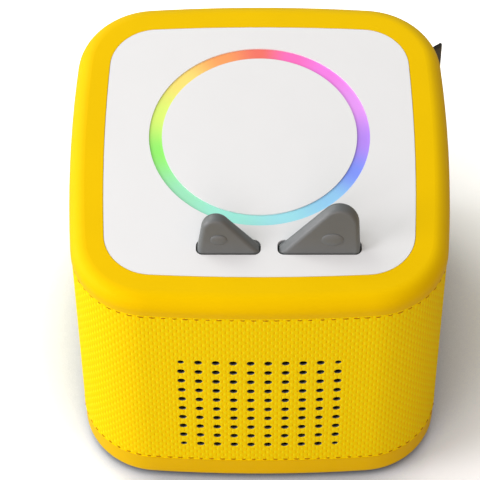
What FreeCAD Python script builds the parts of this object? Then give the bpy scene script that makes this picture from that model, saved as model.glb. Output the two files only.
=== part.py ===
import FreeCAD, Part
import Sketcher
import math
import os

# A cube-shaped audio story player for small children.  A padded fabric sleeve stands
# between a yellow base shell and a yellow top frame.  A white panel in the frame carries
# a round light ring, on which a figure is placed, and two ear-shaped volume levers.
#
# Millimetres.  The origin is on the table under the middle of the cube, +Z is up and
# the loudspeaker side faces -Y.

document = FreeCAD.newDocument("AudioStoryPlayer")
sheet = document.addObject("Spreadsheet::Sheet", "Sizes")

SIZES = {
    # the cube
    "body_half": 60.0,
    "side_bulge": 480.0,
    "corner_round": 25.0,
    "panel_top": 105.0,
    # top frame
    "frame_height": 7.0,
    "shoulder_round": 5.0,
    "frame_flange": 4.0,
    "lip_width": 3.0,
    # top panel
    "frame_border": 11.0,
    "panel_bulge": 615.0,
    "panel_corner": 15.2,
    "panel_thick": 2.0,
    "panel_gap": 0.15,
    "panel_screw_side_margin": 6.5,
    "panel_screw_end_margin": 18.0,
    "panel_boss_round": 2.6,
    # light ring and figure place
    "ring_front_margin": 5.4,
    "ring_back_margin": 8.8,
    "ring_wide": 4.1,
    "ring_recess": 0.4,
    "ring_gap": 0.05,
    "ring_flange": 1.4,
    "ring_flange_thick": 1.6,
    "led_board_thick": 1.0,
    "led_board_inside": 2.9,
    "led_board_outside": 1.6,
    "led_length": 3.0,
    "led_height": 0.8,
    "led_count": 12,
    "coil_inner": 14.0,
    "coil_margin": 2.9,
    "coil_thick": 0.8,
    "magnet_round": 9.0,
    "magnet_thick": 3.0,
    "magnet_gap": 0.1,
    "holder_wall": 2.0,
    # ears
    "slot_margin": 8.2,
    "slot_deep": 5.6,
    "slot_round": 2.1,
    "ear_gap": 0.45,
    "ear_edge": 1.5,
    "tip_clear": 3.0,
    "ear_block": 20.0,
    "ear_join": 2.0,
    "down_slot_wide": 20.0,
    "down_side_lean": 9.9,
    "down_slope_angle": 44.9,
    "down_tip_round": 4.5,
    "down_lean_front": 20.3,
    "down_lean_back": 17.6,
    "down_facet_tilt": 1.0,
    "slots_apart": 5.1,
    "up_slot_wide": 26.0,
    "up_slot_margin": 17.5,
    "up_side_lean": 3.0,
    "up_slope_angle": 41.4,
    "up_tip_round": 6.2,
    "up_lean_front": 20.9,
    "up_lean_back": 18.6,
    "up_facet_tilt": 13.5,
    "bump_rise": 0.5,
    "bump_height": 4.8,
    "down_bump_place": 7.1,
    "down_bump_half_wide": 2.6,
    "down_bump_half_tall": 1.8,
    "up_bump_place": 16.9,
    "up_bump_half_wide": 3.4,
    "up_bump_half_tall": 2.2,
    # ear mechanism
    "pivot_depth": 5.8,
    "pin_round": 0.75,
    "pin_running": 0.05,
    "pin_seat": 0.02,
    "pin_grip": 2.5,
    "pin_grip_between": 2.25,
    "foot_depth": 7.5,
    "lever_reach": 6.0,
    "lever_half_wide": 3.0,
    "lever_thick": 2.0,
    "lever_front": 1.2,
    "lever_below": 0.9,
    "lug_gap": 0.3,
    "lug_half_deep": 2.6,
    "lug_above": 2.3,
    "carrier_side_room": 4.4,
    "carrier_front_room": 5.9,
    "carrier_back_room": 1.5,
    "carrier_wall": 1.2,
    "carrier_depth": 11.0,
    "carrier_flange": 3.6,
    "carrier_fit": 0.2,
    "switch_board_thick": 1.0,
    "switch_board_trim": 1.0,
    "switch_half": 3.0,
    "switch_deep": 2.9,
    "switch_height": 3.5,
    "plunger_round": 0.85,
    "plunger_running": 0.05,
    "plunger_gap": 0.08,
    "plunger_inside": 1.8,
    "plunger_room": 0.6,
    # sleeve and housing
    "fabric_inset": 0.25,
    "fabric_thick": 0.9,
    "foam_thick": 2.5,
    "layer_gap": 0.1,
    "housing_wall": 2.2,
    "frame_fit": 0.2,
    "deck_drop": 4.0,
    "deck_thick": 2.0,
    # perforated field
    "hole_round": 1.25,
    "small_hole_round": 1.0,
    "hole_pitch": 5.49,
    "hole_columns": 10,
    "hole_rows": 10,
    "field_middle": 47.5,
    # loudspeaker wall
    "foam_window_gap": 1.0,
    "foam_window_round": 8.0,
    "baffle_rim": 3.5,
    "baffle_depth": 10.0,
    "grille_margin": 3.3,
    "grille_round": 7.0,
    "grille_drop": 0.95,
    "grille_thick": 2.4,
    "grille_depth": 3.9,
    "grille_wall": 1.8,
    "grille_fit": 0.2,
    "grille_hole_round": 1.45,
    # loudspeaker
    "speaker_opening": 22.5,
    "gasket_thick": 1.0,
    "basket_round": 27.0,
    "basket_flange": 1.2,
    "basket_depth": 11.0,
    "basket_neck": 16.0,
    "basket_wall": 1.0,
    "surround_outer": 24.6,
    "surround_inner": 21.4,
    "surround_rise": 1.2,
    "surround_thick": 0.4,
    "cone_outer": 21.0,
    "cone_neck": 6.6,
    "cone_depth": 7.0,
    "cone_thick": 0.6,
    "cap_round": 7.6,
    "cap_rise": 2.2,
    "cap_shoulder": 6.1,
    "cap_shoulder_rise": 1.3,
    "cap_crown": 3.0,
    "coil_former": 6.5,
    "coil_wall": 0.35,
    "former_length": 7.0,
    "winding_length": 3.6,
    "pole_round": 5.8,
    "gap_outer": 7.4,
    "pole_plate_thick": 2.5,
    "speaker_magnet_round": 14.0,
    "speaker_magnet_hole": 8.6,
    "speaker_magnet_thick": 7.0,
    "yoke_thick": 2.5,
    "spider_outer": 13.5,
    "spider_inner": 7.9,
    "spider_thick": 0.4,
    "speaker_screw_overlap": 0.7,
    "speaker_screw_bite": 3.0,
    # base
    "foot_stand": 0.5,
    "foot_thick": 1.6,
    "foot_round": 5.0,
    "foot_margin": 15.2,
    "rim_top": 12.2,
    "rim_inset": 0.4,
    "bottom_round": 4.5,
    "floor_thick": 2.4,
    "rim_fit": 0.1,
    "housing_screw_in": 6.85,
    "housing_screw_along": 22.0,
    "housing_boss_half": 4.0,
    "housing_boss_height": 18.0,
    # battery
    "cell_round": 7.1,
    "cell_length": 50.0,
    "cell_pitch": 14.6,
    "cell_middle": -14.0,
    "cell_nub_round": 2.6,
    "cell_nub": 1.0,
    "cell_clear": 0.2,
    "cell_count": 3,
    "contact_thick": 0.5,
    "contact_half_tall": 5.7,
    "tray_wall": 1.6,
    "door_plate": 1.4,
    "door_ledge": 3.0,
    "door_rim": 1.0,
    "door_fit": 0.15,
    "door_screw_out": 3.6,
    "door_boss_round": 2.4,
    "door_boss_height": 6.0,
    # board and ports
    "board_top": 5.9,
    "board_thick": 1.6,
    "board_side_margin": 22.0,
    "board_gap": 4.5,
    "board_back_margin": 8.5,
    "board_screw_inset": 3.5,
    "standoff_round": 2.8,
    "port_height": 8.4,
    "port_bay_half": 17.0,
    "port_bay_tall": 5.6,
    "port_face_drop": 1.0,
    "port_plate_thick": 2.0,
    "port_fit": 0.1,
    "jack_place": -8.5,
    "jack_bore": 1.8,
    "jack_depth": 13.5,
    "jack_barrel": 2.45,
    "jack_half": 3.2,
    "jack_tall": 5.0,
    "usb_place": 7.5,
    "usb_half_wide": 4.47,
    "usb_half_tall": 1.63,
    "usb_length": 7.4,
    "usb_shell": 0.3,
    "usb_tongue_thick": 0.7,
    "usb_back_wall": 1.0,
    "shield_wall": 0.3,
    "shield_tall": 2.4,
    "shield_half_wide": 12.7,
    "shield_deep": 19.0,
    "chip_tall": 1.0,
    "processor_place": -5.7,
    "processor_along": 8.0,
    "processor_half": 3.4,
    "memory_place": 6.5,
    "memory_along": 8.0,
    "memory_half": 2.7,
    "chip_side_margin": 14.4,
    "amplifier_along": 17.0,
    "amplifier_half": 3.0,
    "charger_along": 17.0,
    "charger_half": 3.0,
    "clock_along": 27.0,
    "clock_half": 2.3,
    "plug_tall": 3.4,
    "plug_half": 2.3,
    "plug_along": 10.5,
    "plug_side_margin": 7.6,
    "top_plug_place": 17.1,
    # screws
    "screw_shank": 1.1,
    "screw_hole": 1.3,
    "screw_pilot": 1.12,
    "screw_head": 2.3,
    "screw_head_tall": 1.2,
    "screw_head_room": 0.15,
    "screw_tip_room": 0.6,
    "drive_half": 0.9,
    "drive_deep": 0.6,
    "end_share": 0.9,
    # leads and antenna
    "lead_round": 0.9,
    "lead_bend_share": 0.45,
    "antenna_thick": 0.8,
    "antenna_half": 14.0,
    "antenna_tall": 14.0,
    # pull tab
    "tab_angle": 36.4,
    "tab_lean": 34.5,
    "tab_length": 6.7,
    "tab_thick": 1.6,
    "tab_top": 92.0,
    "tab_height": 20.0,
    "tab_gap": 0.15,
}

COUNTS = ("led_count", "hole_columns", "hole_rows", "cell_count")


class Size:
    """A length that follows the sheet: its number now, and the expression that gives it."""

    def __init__(self, number, text):
        self.number = number
        self.text = text

    def __add__(self, other):
        other = sized(other)
        return Size(self.number + other.number, "(%s + %s)" % (self.text, other.text))

    def __sub__(self, other):
        other = sized(other)
        return Size(self.number - other.number, "(%s - %s)" % (self.text, other.text))

    def __mul__(self, other):
        other = sized(other)
        return Size(self.number * other.number, "(%s * %s)" % (self.text, other.text))

    def __truediv__(self, other):
        other = sized(other)
        return Size(self.number / other.number, "(%s / %s)" % (self.text, other.text))

    def __radd__(self, other):
        return sized(other) + self

    def __rsub__(self, other):
        return sized(other) - self

    def __rmul__(self, other):
        return sized(other) * self

    def __rtruediv__(self, other):
        return sized(other) / self

    def __neg__(self):
        return sized(0) - self


def sized(value):
    """A plain number as a Size; a Size stays as it is."""
    if isinstance(value, Size):
        return value
    return Size(float(value), "(%r)" % value)


def root_of(size):
    return Size(math.sqrt(size.number), "sqrt(%s)" % size.text)


def cosine(angle):
    return Size(math.cos(math.radians(angle.number)), "cos(%s)" % angle.text)


def sine(angle):
    return Size(math.sin(math.radians(angle.number)), "sin(%s)" % angle.text)


def tangent(angle):
    return Size(math.tan(math.radians(angle.number)), "tan(%s)" % angle.text)


class Sizes:
    """The cells of the sheet by their aliases."""


def fill_sheet():
    """Write each driving size into a cell of its own and give the cell its alias."""
    cells = Sizes()
    for row, (name, number) in enumerate(SIZES.items(), start=1):
        sheet.set("A%d" % row, name)
        sheet.set("B%d" % row, str(number))
        sheet.setAlias("B%d" % row, name)
        setattr(cells, name, Size(float(number), "Sizes." + name))
    document.recompute()
    return cells


d = fill_sheet()
counts = {name: int(sheet.get(name)) for name in COUNTS}


# ---------------------------------------------------------------- levels and places

panel_under = d.panel_top - d.panel_thick
frame_under = d.panel_top - d.frame_flange
frame_foot = d.panel_top - d.frame_height
deck_top = panel_under - d.deck_drop
deck_under = deck_top - d.deck_thick
foam_inset = d.fabric_inset + d.fabric_thick + d.layer_gap
housing_inset = foam_inset + d.foam_thick + 2 * d.layer_gap
housing_inner = housing_inset + d.housing_wall
floor_top = d.foot_stand + d.floor_thick
panel_half = d.body_half - d.frame_border
panel_screw_side = panel_half - d.panel_screw_side_margin
panel_screw_along = panel_half - d.panel_screw_end_margin
slot_front = -(panel_half - d.slot_margin)
slot_back = slot_front + d.slot_deep
up_slot_right = panel_half - d.up_slot_margin
up_slot_left = up_slot_right - d.up_slot_wide
down_slot_right = up_slot_left - d.slots_apart
down_slot_left = down_slot_right - d.down_slot_wide
ring_front = slot_back + d.ring_front_margin
ring_outer = (panel_half - d.ring_back_margin - ring_front) / 2
ring_inner = ring_outer - d.ring_wide
ring_middle = ring_front + ring_outer
led_board_inner = ring_inner - d.led_board_inside
led_board_outer = ring_outer + d.led_board_outside
coil_outer = ring_inner - d.coil_margin
ear_front = slot_front + d.ear_gap
ear_back = slot_back - d.ear_gap
ear_middle = (slot_front + slot_back) / 2
pivot_level = d.panel_top - d.pivot_depth
foot_level = d.panel_top - d.foot_depth
press_level = pivot_level - d.lever_reach
lever_face = ear_middle - d.lever_front
carrier_left = down_slot_left - d.carrier_side_room
carrier_right = up_slot_right + d.carrier_side_room
carrier_front = slot_front - d.carrier_front_room
carrier_back = slot_back + d.carrier_back_room
carrier_floor = deck_top - d.carrier_depth
switch_board_back = carrier_front + d.carrier_wall
switch_front = switch_board_back + d.switch_board_thick
switch_face = switch_front + d.switch_deep
field_wide = (d.hole_columns - 1) * d.hole_pitch
field_tall = (d.hole_rows - 1) * d.hole_pitch
grille_half = field_wide / 2 + d.grille_margin
grille_front = -(d.body_half - d.fabric_inset - d.fabric_thick - d.grille_drop)
grille_seat = grille_front + d.grille_depth
foam_window_half = grille_half + d.foam_window_gap
baffle_half = grille_half + d.baffle_rim
baffle_back = -(d.body_half - d.baffle_depth)
gasket_back = baffle_back + d.gasket_thick
flange_back = gasket_back + d.basket_flange
magnet_front = flange_back + d.basket_depth
cell_level = floor_top + d.cell_clear + d.cell_round
cells_front = d.cell_middle - d.cell_pitch * (d.cell_count - 1) / 2 - d.cell_round
cells_back = d.cell_middle + d.cell_pitch * (d.cell_count - 1) / 2 + d.cell_round
bay_half = d.cell_length / 2 + d.cell_nub + d.contact_thick + d.cell_clear
bay_front = cells_front - d.cell_clear
bay_back = cells_back + d.cell_clear
bay_top = cell_level + d.cell_round + d.cell_clear
tray_half = bay_half + d.tray_wall
tray_front = bay_front - d.tray_wall
tray_back = bay_back + d.tray_wall
door_screw_place = tray_half + d.door_screw_out
door_half = door_screw_place + d.screw_head + d.screw_head_room + d.door_rim
foot_place = d.body_half - d.foot_margin
housing_screw_side = d.body_half - housing_inner - d.housing_screw_in
board_under = d.board_top - d.board_thick
board_half = d.body_half - d.board_side_margin
board_front = tray_back + d.board_gap
board_back = d.body_half - d.board_back_margin
port_plate_face = d.body_half - d.port_face_drop
plug_along = board_front + d.plug_along
plug_side = board_half - d.plug_side_margin
chip_side = board_half - d.chip_side_margin
top_lead_place = ring_middle + led_board_inner + 2 * d.lead_round


# ---------------------------------------------------------------- building helpers

FULL_TURN = 360.0


def bind(item, name, size):
    """Tie one property of an object to the sheet."""
    item.setExpression(name, sized(size).text)


def place(item, x=0, y=0, z=0):
    """Tie an object's position to the sheet."""
    for axis, size in (("x", x), ("y", y), ("z", z)):
        bind(item, "Placement.Base." + axis, size)


def turned(item, axis, angle):
    """Turn an object about an axis through its own origin."""
    item.Placement = FreeCAD.Placement(FreeCAD.Vector(), FreeCAD.Rotation(FreeCAD.Vector(*axis), angle))


def box(name, low, high):
    """A block between two corners, each given as three sizes."""
    block = document.addObject("Part::Box", name)
    sides = [sized(top) - sized(bottom) for bottom, top in zip(low, high)]
    for side, size in zip(("Length", "Width", "Height"), sides):
        bind(block, side, size)
    place(block, *low)
    return block


def cylinder(name, radius, height, x=0, y=0, z=0, along="Z"):
    """A round bar that starts at a point and runs along +X, +Y or +Z."""
    bar = document.addObject("Part::Cylinder", name)
    bind(bar, "Radius", radius)
    bind(bar, "Height", height)
    if along == "X":
        turned(bar, (0, 1, 0), 90)
    if along == "Y":
        turned(bar, (1, 0, 0), -90)
    place(bar, x, y, z)
    return bar


def fused(name, pieces):
    """Several shapes in one object."""
    whole = document.addObject("Part::MultiFuse", name)
    whole.Shapes = pieces
    return whole


def cut(name, base, tool):
    """One shape less another."""
    rest = document.addObject("Part::Cut", name)
    rest.Base = base
    rest.Tool = tool
    return rest


def body(name):
    return document.addObject("PartDesign::Body", name)


class Profile:
    """A sketch on one of a body's own planes, every size of it bound to the sheet."""

    def __init__(self, owner, plane="XY", offset=0):
        self.owner = owner
        self.sketch = owner.newObject("Sketcher::SketchObject", owner.Name + "_profile")
        own_plane = [f for f in owner.Origin.OriginFeatures if f.Role == plane + "_Plane"][0]
        self.sketch.AttachmentSupport = [(own_plane, "")]
        self.sketch.MapMode = "FlatFace"
        bind(self.sketch, "AttachmentOffset.Base.z", offset)

    def hold(self, kind, *where, size=None):
        """Add one constraint, with its size if it has one."""
        if size is None:
            return self.sketch.addConstraint(Sketcher.Constraint(kind, *where))
        index = self.sketch.addConstraint(Sketcher.Constraint(kind, *where, size.number))
        self.sketch.setExpression("Constraints[%d]" % index, size.text)
        return index

    def hold_point(self, geometry, corner, x, y):
        """Fix one point of the sketch by its distances from the origin."""
        self.hold("DistanceX", -1, 1, geometry, corner, size=sized(x))
        self.hold("DistanceY", -1, 1, geometry, corner, size=sized(y))

    def circle(self, x, y, radius):
        middle = FreeCAD.Vector(sized(x).number, sized(y).number, 0)
        shape = Part.Circle(middle, FreeCAD.Vector(0, 0, 1), sized(radius).number)
        index = self.sketch.addGeometry(shape, False)
        self.hold_point(index, 3, x, y)
        self.hold("Radius", index, size=sized(radius))
        return self

    def polygon(self, points):
        """Straight lines through points given as pairs of sizes."""
        corners = [FreeCAD.Vector(sized(x).number, sized(y).number, 0) for x, y in points]
        first = self.sketch.GeometryCount
        for place_now, corner in enumerate(corners):
            following = corners[(place_now + 1) % len(corners)]
            self.sketch.addGeometry(Part.LineSegment(corner, following), False)
        for place_now, (x, y) in enumerate(points):
            before = first + (place_now - 1) % len(points)
            self.hold("Coincident", before, 2, first + place_now, 1)
            self.hold_point(first + place_now, 1, x, y)
        return self

    def rectangle(self, left, low, right, high):
        return self.polygon([(left, low), (right, low), (right, high), (left, high)])

    def rounded(self, left, low, right, high, radius):
        """A rectangle with four equal round corners."""
        left, low, right, high, radius = (sized(s) for s in (left, low, right, high, radius))
        middles = [(right - radius, high - radius), (left + radius, high - radius),
                   (left + radius, low + radius), (right - radius, low + radius)]
        first = self.sketch.GeometryCount
        up = FreeCAD.Vector(0, 0, 1)
        reach = radius.number
        for quarter, (x, y) in enumerate(middles):
            start = quarter * math.pi / 2
            ring = Part.Circle(FreeCAD.Vector(x.number, y.number, 0), up, reach)
            self.sketch.addGeometry(Part.ArcOfCircle(ring, start, start + math.pi / 2), False)
            following = middles[(quarter + 1) % 4]
            angle = start + math.pi / 2
            out = FreeCAD.Vector(reach * math.cos(angle), reach * math.sin(angle), 0)
            begin = FreeCAD.Vector(x.number, y.number, 0) + out
            end = FreeCAD.Vector(following[0].number, following[1].number, 0) + out
            self.sketch.addGeometry(Part.LineSegment(begin, end), False)
        for quarter, (x, y) in enumerate(middles):
            arc = first + 2 * quarter
            self.hold("Tangent", arc, 2, arc + 1, 1)
            self.hold("Tangent", arc + 1, 2, first + (2 * quarter + 2) % 8, 1)
        for quarter in range(4):
            arc = first + 2 * quarter
            if quarter == 0:
                self.hold("Radius", arc, size=radius)
            else:
                self.hold("Equal", first, arc)
        self.hold_point(first, 3, *middles[0])
        self.hold_point(first + 4, 3, *middles[2])
        return self

    def bulged(self, half, bulge, corner, inset=0):
        """A square with gently bowed sides and round corners, moved inwards by the inset."""
        half, bulge, corner, inset = (sized(s) for s in (half, bulge, corner, inset))
        side_offset = bulge - half
        side_radius = bulge - inset
        corner_radius = corner - inset
        spread = bulge.number - corner.number
        setback = half.number - bulge.number
        middle = (setback + math.sqrt(2 * spread ** 2 - setback ** 2)) / 2
        turn = math.atan2(middle, middle - setback)
        first = self.sketch.GeometryCount
        up = FreeCAD.Vector(0, 0, 1)
        for quarter in range(4):
            heading = quarter * math.pi / 2
            cos, sin = round(math.cos(heading)), round(math.sin(heading))
            side_middle = FreeCAD.Vector(setback * cos, setback * sin, 0)
            side = Part.Circle(side_middle, up, side_radius.number)
            self.sketch.addGeometry(Part.ArcOfCircle(side, heading - turn, heading + turn), False)
            corner_middle = FreeCAD.Vector(middle * (cos - sin), middle * (sin + cos), 0)
            ring = Part.Circle(corner_middle, up, corner_radius.number)
            finish = heading + math.pi / 2 - turn
            self.sketch.addGeometry(Part.ArcOfCircle(ring, heading + turn, finish), False)
        for piece in range(8):
            self.hold("Tangent", first + piece, 2, first + (piece + 1) % 8, 1)
        right, back, left, front = (first + 2 * quarter for quarter in range(4))
        self.hold("Radius", right, size=side_radius)
        self.hold("Radius", right + 1, size=corner_radius)
        for quarter in range(1, 4):
            self.hold("Equal", right, first + 2 * quarter)
            self.hold("Equal", right + 1, first + 2 * quarter + 1)
        for piece in (right, left):
            self.hold("PointOnObject", piece, 3, -1)
        for piece in (back, front):
            self.hold("PointOnObject", piece, 3, -2)
        self.hold("DistanceX", right, 3, -1, 1, size=side_offset)
        self.hold("DistanceX", -1, 1, left, 3, size=side_offset)
        self.hold("DistanceY", back, 3, -1, 1, size=side_offset)
        self.hold("DistanceY", -1, 1, front, 3, size=side_offset)
        return self

    def feature(self, kind, depth=None, forward=True, both=False, through=False):
        """Turn the sketch into a Pad or Pocket and check that it changes the solid."""
        document.recompute()
        before = self.owner.Shape.Volume if self.owner.Tip and self.owner.Tip != self.sketch else 0
        made = self.owner.newObject("PartDesign::" + kind, self.owner.Name + "_" + kind.lower())
        made.Profile = self.sketch
        if both:
            made.SideType = "Symmetric"
        if through:
            made.Type = "ThroughAll"
        else:
            bind(made, "Length", depth)
        if kind == "Pocket":
            made.Reversed = forward
        else:
            made.Reversed = not forward
        self.sketch.Visibility = False
        document.recompute()
        if abs(self.owner.Shape.Volume - before) < 1e-3:
            raise RuntimeError("%s changes nothing" % made.Name)
        return made

    def pad(self, depth, forward=True, both=False):
        return self.feature("Pad", depth, forward, both)

    def pocket(self, depth=None, forward=False, both=False):
        return self.feature("Pocket", depth, forward, both, through=depth is None)


def fillet(owner, radius, chosen):
    """Round the edges of a body's last feature that a test picks."""
    tip = owner.Tip
    names = ["Edge%d" % (n + 1) for n, edge in enumerate(tip.Shape.Edges) if chosen(edge)]
    round_feature = owner.newObject("PartDesign::Fillet", owner.Name + "_fillet")
    round_feature.Base = (tip, names)
    bind(round_feature, "Radius", radius)
    document.recompute()
    return round_feature


def at_level(level, reach):
    """Picks the edges that lie flat at a height and at least so far from the middle."""
    def chosen(edge):
        bounds = edge.BoundBox
        flat = abs(bounds.ZMin - level) < 1e-4 and abs(bounds.ZMax - level) < 1e-4
        middle = edge.CenterOfMass
        return flat and max(abs(middle.x), abs(middle.y)) > reach
    return chosen


def turned_piece(name, points, x=0, y=0, z=0, facing="Z"):
    """A turned piece: a closed profile of (radius, height) points, swept round its axis.

    The axis is +Z, or -Y for a piece that faces the loudspeaker side."""
    owner = body(name)
    profile = Profile(owner, "XZ")
    profile.polygon(points)
    document.recompute()
    turn = owner.newObject("PartDesign::Revolution", name + "_turn")
    turn.Profile = profile.sketch
    turn.ReferenceAxis = (profile.sketch, ["V_Axis"])
    turn.Angle = FULL_TURN
    profile.sketch.Visibility = False
    if facing == "Y":
        turned(owner, (1, 0, 0), -90)
    place(owner, x, y, z)
    return owner


SCREW_TURNS = {"up": 0, "down": 180, "front": 90}


def screw(name, x, y, z, length, heading="up"):
    """A cross-headed screw: its head rests at (x, y, z) and its shank runs up, down or to the front."""
    top = -d.screw_head_tall
    thin = d.drive_half / 4
    head = cylinder(name + "_head", d.screw_head, d.screw_head_tall, 0, 0, top)
    shank = cylinder(name + "_shank", d.screw_shank, length)
    wide = box(name + "_wide", (-d.drive_half, -thin, top), (d.drive_half, thin, top + d.drive_deep))
    deep = box(name + "_deep", (-thin, -d.drive_half, top), (thin, d.drive_half, top + d.drive_deep))
    whole = cut(name, fused(name + "_blank", [head, shank]), fused(name + "_drive", [wide, deep]))
    turned(whole, (1, 0, 0), SCREW_TURNS[heading])
    place(whole, x, y, z)
    return whole


def group(name, pieces):
    """Several separate solids in one object."""
    whole = document.addObject("Part::Compound", name)
    whole.Links = pieces
    return whole


four_corners = ((-1, -1), (1, -1), (1, 1), (-1, 1))


# ---------------------------------------------------------------- outside

def make_top_frame():
    """The smooth yellow frame: a round-shouldered ring with a lip under the panel."""
    frame = body("top_frame")
    Profile(frame, "XY", frame_foot).bulged(d.body_half, d.side_bulge, d.corner_round).pad(d.frame_height)
    fillet(frame, d.shoulder_round, at_level(d.panel_top.number, 0))
    opening = Profile(frame, "XY", d.panel_top)
    opening.bulged(panel_half, d.panel_bulge, d.panel_corner, -d.panel_gap)
    opening.pocket(d.panel_thick)
    lip = Profile(frame, "XY", d.panel_top)
    lip.bulged(panel_half, d.panel_bulge, d.panel_corner, d.lip_width).pocket()
    under = Profile(frame, "XY", frame_foot)
    under.bulged(d.body_half, d.side_bulge, d.corner_round, housing_inset - d.frame_fit)
    under.pocket(d.frame_height - d.frame_flange, forward=True)
    return frame


def slot_ends():
    """The left and right end of each ear's slot."""
    return ((down_slot_left, down_slot_right), (up_slot_left, up_slot_right))


def make_top_panel():
    """The white panel, with a round opening for the light ring and a slot for each ear."""
    panel = body("top_panel")
    Profile(panel, "XY", panel_under).bulged(panel_half, d.panel_bulge, d.panel_corner).pad(d.panel_thick)
    Profile(panel, "XY", d.panel_top).circle(0, ring_middle, ring_outer).pocket()
    for left, right in slot_ends():
        slot = Profile(panel, "XY", d.panel_top)
        slot.rounded(left, slot_front, right, slot_back, d.slot_round).pocket()
    bosses = Profile(panel, "XY", panel_under)
    for across, along in four_corners:
        bosses.circle(across * panel_screw_side, along * panel_screw_along, d.panel_boss_round)
    bosses.pad(d.deck_drop, forward=False)
    pilots = Profile(panel, "XY", deck_top)
    for across, along in four_corners:
        pilots.circle(across * panel_screw_side, along * panel_screw_along, d.screw_pilot)
    pilots.pocket(d.deck_drop, forward=True)
    return panel


def make_figure_disc():
    """The white disc inside the ring, on which the figure stands."""
    return cylinder("figure_disc", ring_inner, d.panel_thick, 0, ring_middle, panel_under)


def make_ring_diffuser():
    """The translucent ring: a visible web and a flange that is held under the panel."""
    inner = ring_inner + d.ring_gap
    outer = ring_outer - d.ring_gap
    foot = panel_under - d.ring_flange_thick
    top = d.panel_top - d.ring_recess
    points = [(inner - d.ring_flange, foot), (outer + d.ring_flange, foot),
              (outer + d.ring_flange, panel_under), (outer, panel_under),
              (outer, top), (inner, top), (inner, panel_under), (inner - d.ring_flange, panel_under)]
    return turned_piece("ring_diffuser", points, 0, ring_middle)


def make_ear(name, left, right, side_lean, slope, tip_round, leans, tilt, bump, tall_on_left):
    """One volume lever: a leaning slab with a three-cornered outline, whose slope is tilted to
    the front, a foot with a pivot bore and a finger that reaches down to its switch."""
    low, high = left + d.ear_gap, right - d.ear_gap
    out, inner = (low, high) if tall_on_left else (high, low)
    side = 1 if tall_on_left else -1
    span = high - low
    peak = span / (tangent(side_lean) + 1 / tangent(slope))
    tip = (out + side * peak * tangent(side_lean), d.panel_top + peak)
    ear = body(name)
    root = d.panel_top - 2 * d.ear_join
    outline = Profile(ear, "XZ", -ear_back)
    outline.polygon([(out, root), (out, d.panel_top), tip, (inner, d.panel_top), (inner, root)])
    slab = outline.pad(d.ear_block, both=True)
    slab.UseCustomVector = True
    slab.Direction = FreeCAD.Vector(0, -1, 0)
    bind(slab, "Direction.z", 0 - tangent(tilt))
    document.recompute()
    fillet(ear, tip_round, lambda edge: edge.CenterOfMass.z > tip[1].number - 1e-3)
    foot = Profile(ear, "XZ", -ear_back)
    foot.rectangle(low, foot_level, high, d.panel_top - d.ear_join)
    foot.pad(d.ear_block, both=True)
    reach = d.body_half
    lean_front, lean_back = (tangent(lean) for lean in leans)
    rise = peak + d.tip_clear
    above = d.panel_top + rise
    below = foot_level - d.lever_reach
    waste = Profile(ear, "YZ")
    waste.polygon([(ear_front, below), (ear_front, d.panel_top),
                   (ear_front + rise * lean_front, above), (-reach, above), (-reach, below)])
    waste.polygon([(ear_back, below), (reach, below), (reach, above),
                   (ear_back + rise * lean_back, above), (ear_back, d.panel_top)])
    waste.pocket(4 * d.body_half, both=True)

    def rim_edge(edge):
        if edge.BoundBox.ZLength < 1e-3:
            return False
        for face, lean in ((ear_front, lean_front), (ear_back, lean_back)):
            off = [abs(point.Y - face.number - max(0, point.Z - d.panel_top.number) * lean.number)
                   for point in edge.Vertexes]
            if max(off) < 1e-3:
                return True
        return False
    fillet(ear, d.ear_edge, rim_edge)
    finger = Profile(ear, "XZ", -(lever_face + d.lever_thick))
    middle = (low + high) / 2
    finger.rectangle(middle - d.lever_half_wide, press_level - d.lever_below,
                     middle + d.lever_half_wide, foot_level)
    finger.pad(d.lever_thick)
    Profile(ear, "YZ").circle(ear_middle, pivot_level, d.pin_round + d.pin_running).pocket(
        4 * d.body_half, both=True)
    bump_x, half_wide, half_tall = bump
    dome = ear.newObject("PartDesign::AdditiveEllipsoid", name + "_bump")
    dome.MapMode = "Deactivated"
    dome.Placement = FreeCAD.Placement(
        FreeCAD.Vector(), FreeCAD.Rotation(FreeCAD.Vector(1, 0, 0), 90 - leans[0].number))
    for part, size in (("Radius1", d.bump_rise), ("Radius2", half_wide), ("Radius3", half_tall)):
        bind(dome, part, size)
    place(dome, bump_x, ear_front + d.bump_height * lean_front, d.panel_top + d.bump_height)
    document.recompute()
    return ear


def make_ears():
    down_bump = (down_slot_left + d.down_bump_place, d.down_bump_half_wide, d.down_bump_half_tall)
    up_bump = (up_slot_left + d.up_bump_place, d.up_bump_half_wide, d.up_bump_half_tall)
    down_leans = (d.down_lean_front, d.down_lean_back)
    up_leans = (d.up_lean_front, d.up_lean_back)
    down = make_ear("volume_down_ear", down_slot_left, down_slot_right, d.down_side_lean,
                    d.down_slope_angle, d.down_tip_round, down_leans, d.down_facet_tilt, down_bump,
                    True)
    up = make_ear("volume_up_ear", up_slot_left, up_slot_right, d.up_side_lean,
                  d.up_slope_angle, d.up_tip_round, up_leans, d.up_facet_tilt, up_bump, False)
    return [down, up]


def repeat_feature(owner, feature, across, along):
    """Repeat a pocket in a grid, each direction given as (length, occurrences)."""
    pattern = owner.newObject("PartDesign::MultiTransform", owner.Name + "_grid")
    pattern.Originals = [feature]
    steps = []
    for axis, (length, number) in (("H_Axis", across), ("V_Axis", along)):
        line = owner.newObject("PartDesign::LinearPattern", owner.Name + "_" + axis)
        line.Direction = (feature.Profile[0], [axis])
        bind(line, "Length", length)
        line.Occurrences = number
        steps.append(line)
    pattern.Transformations = steps
    owner.Tip = pattern
    document.recompute()
    return pattern


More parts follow.
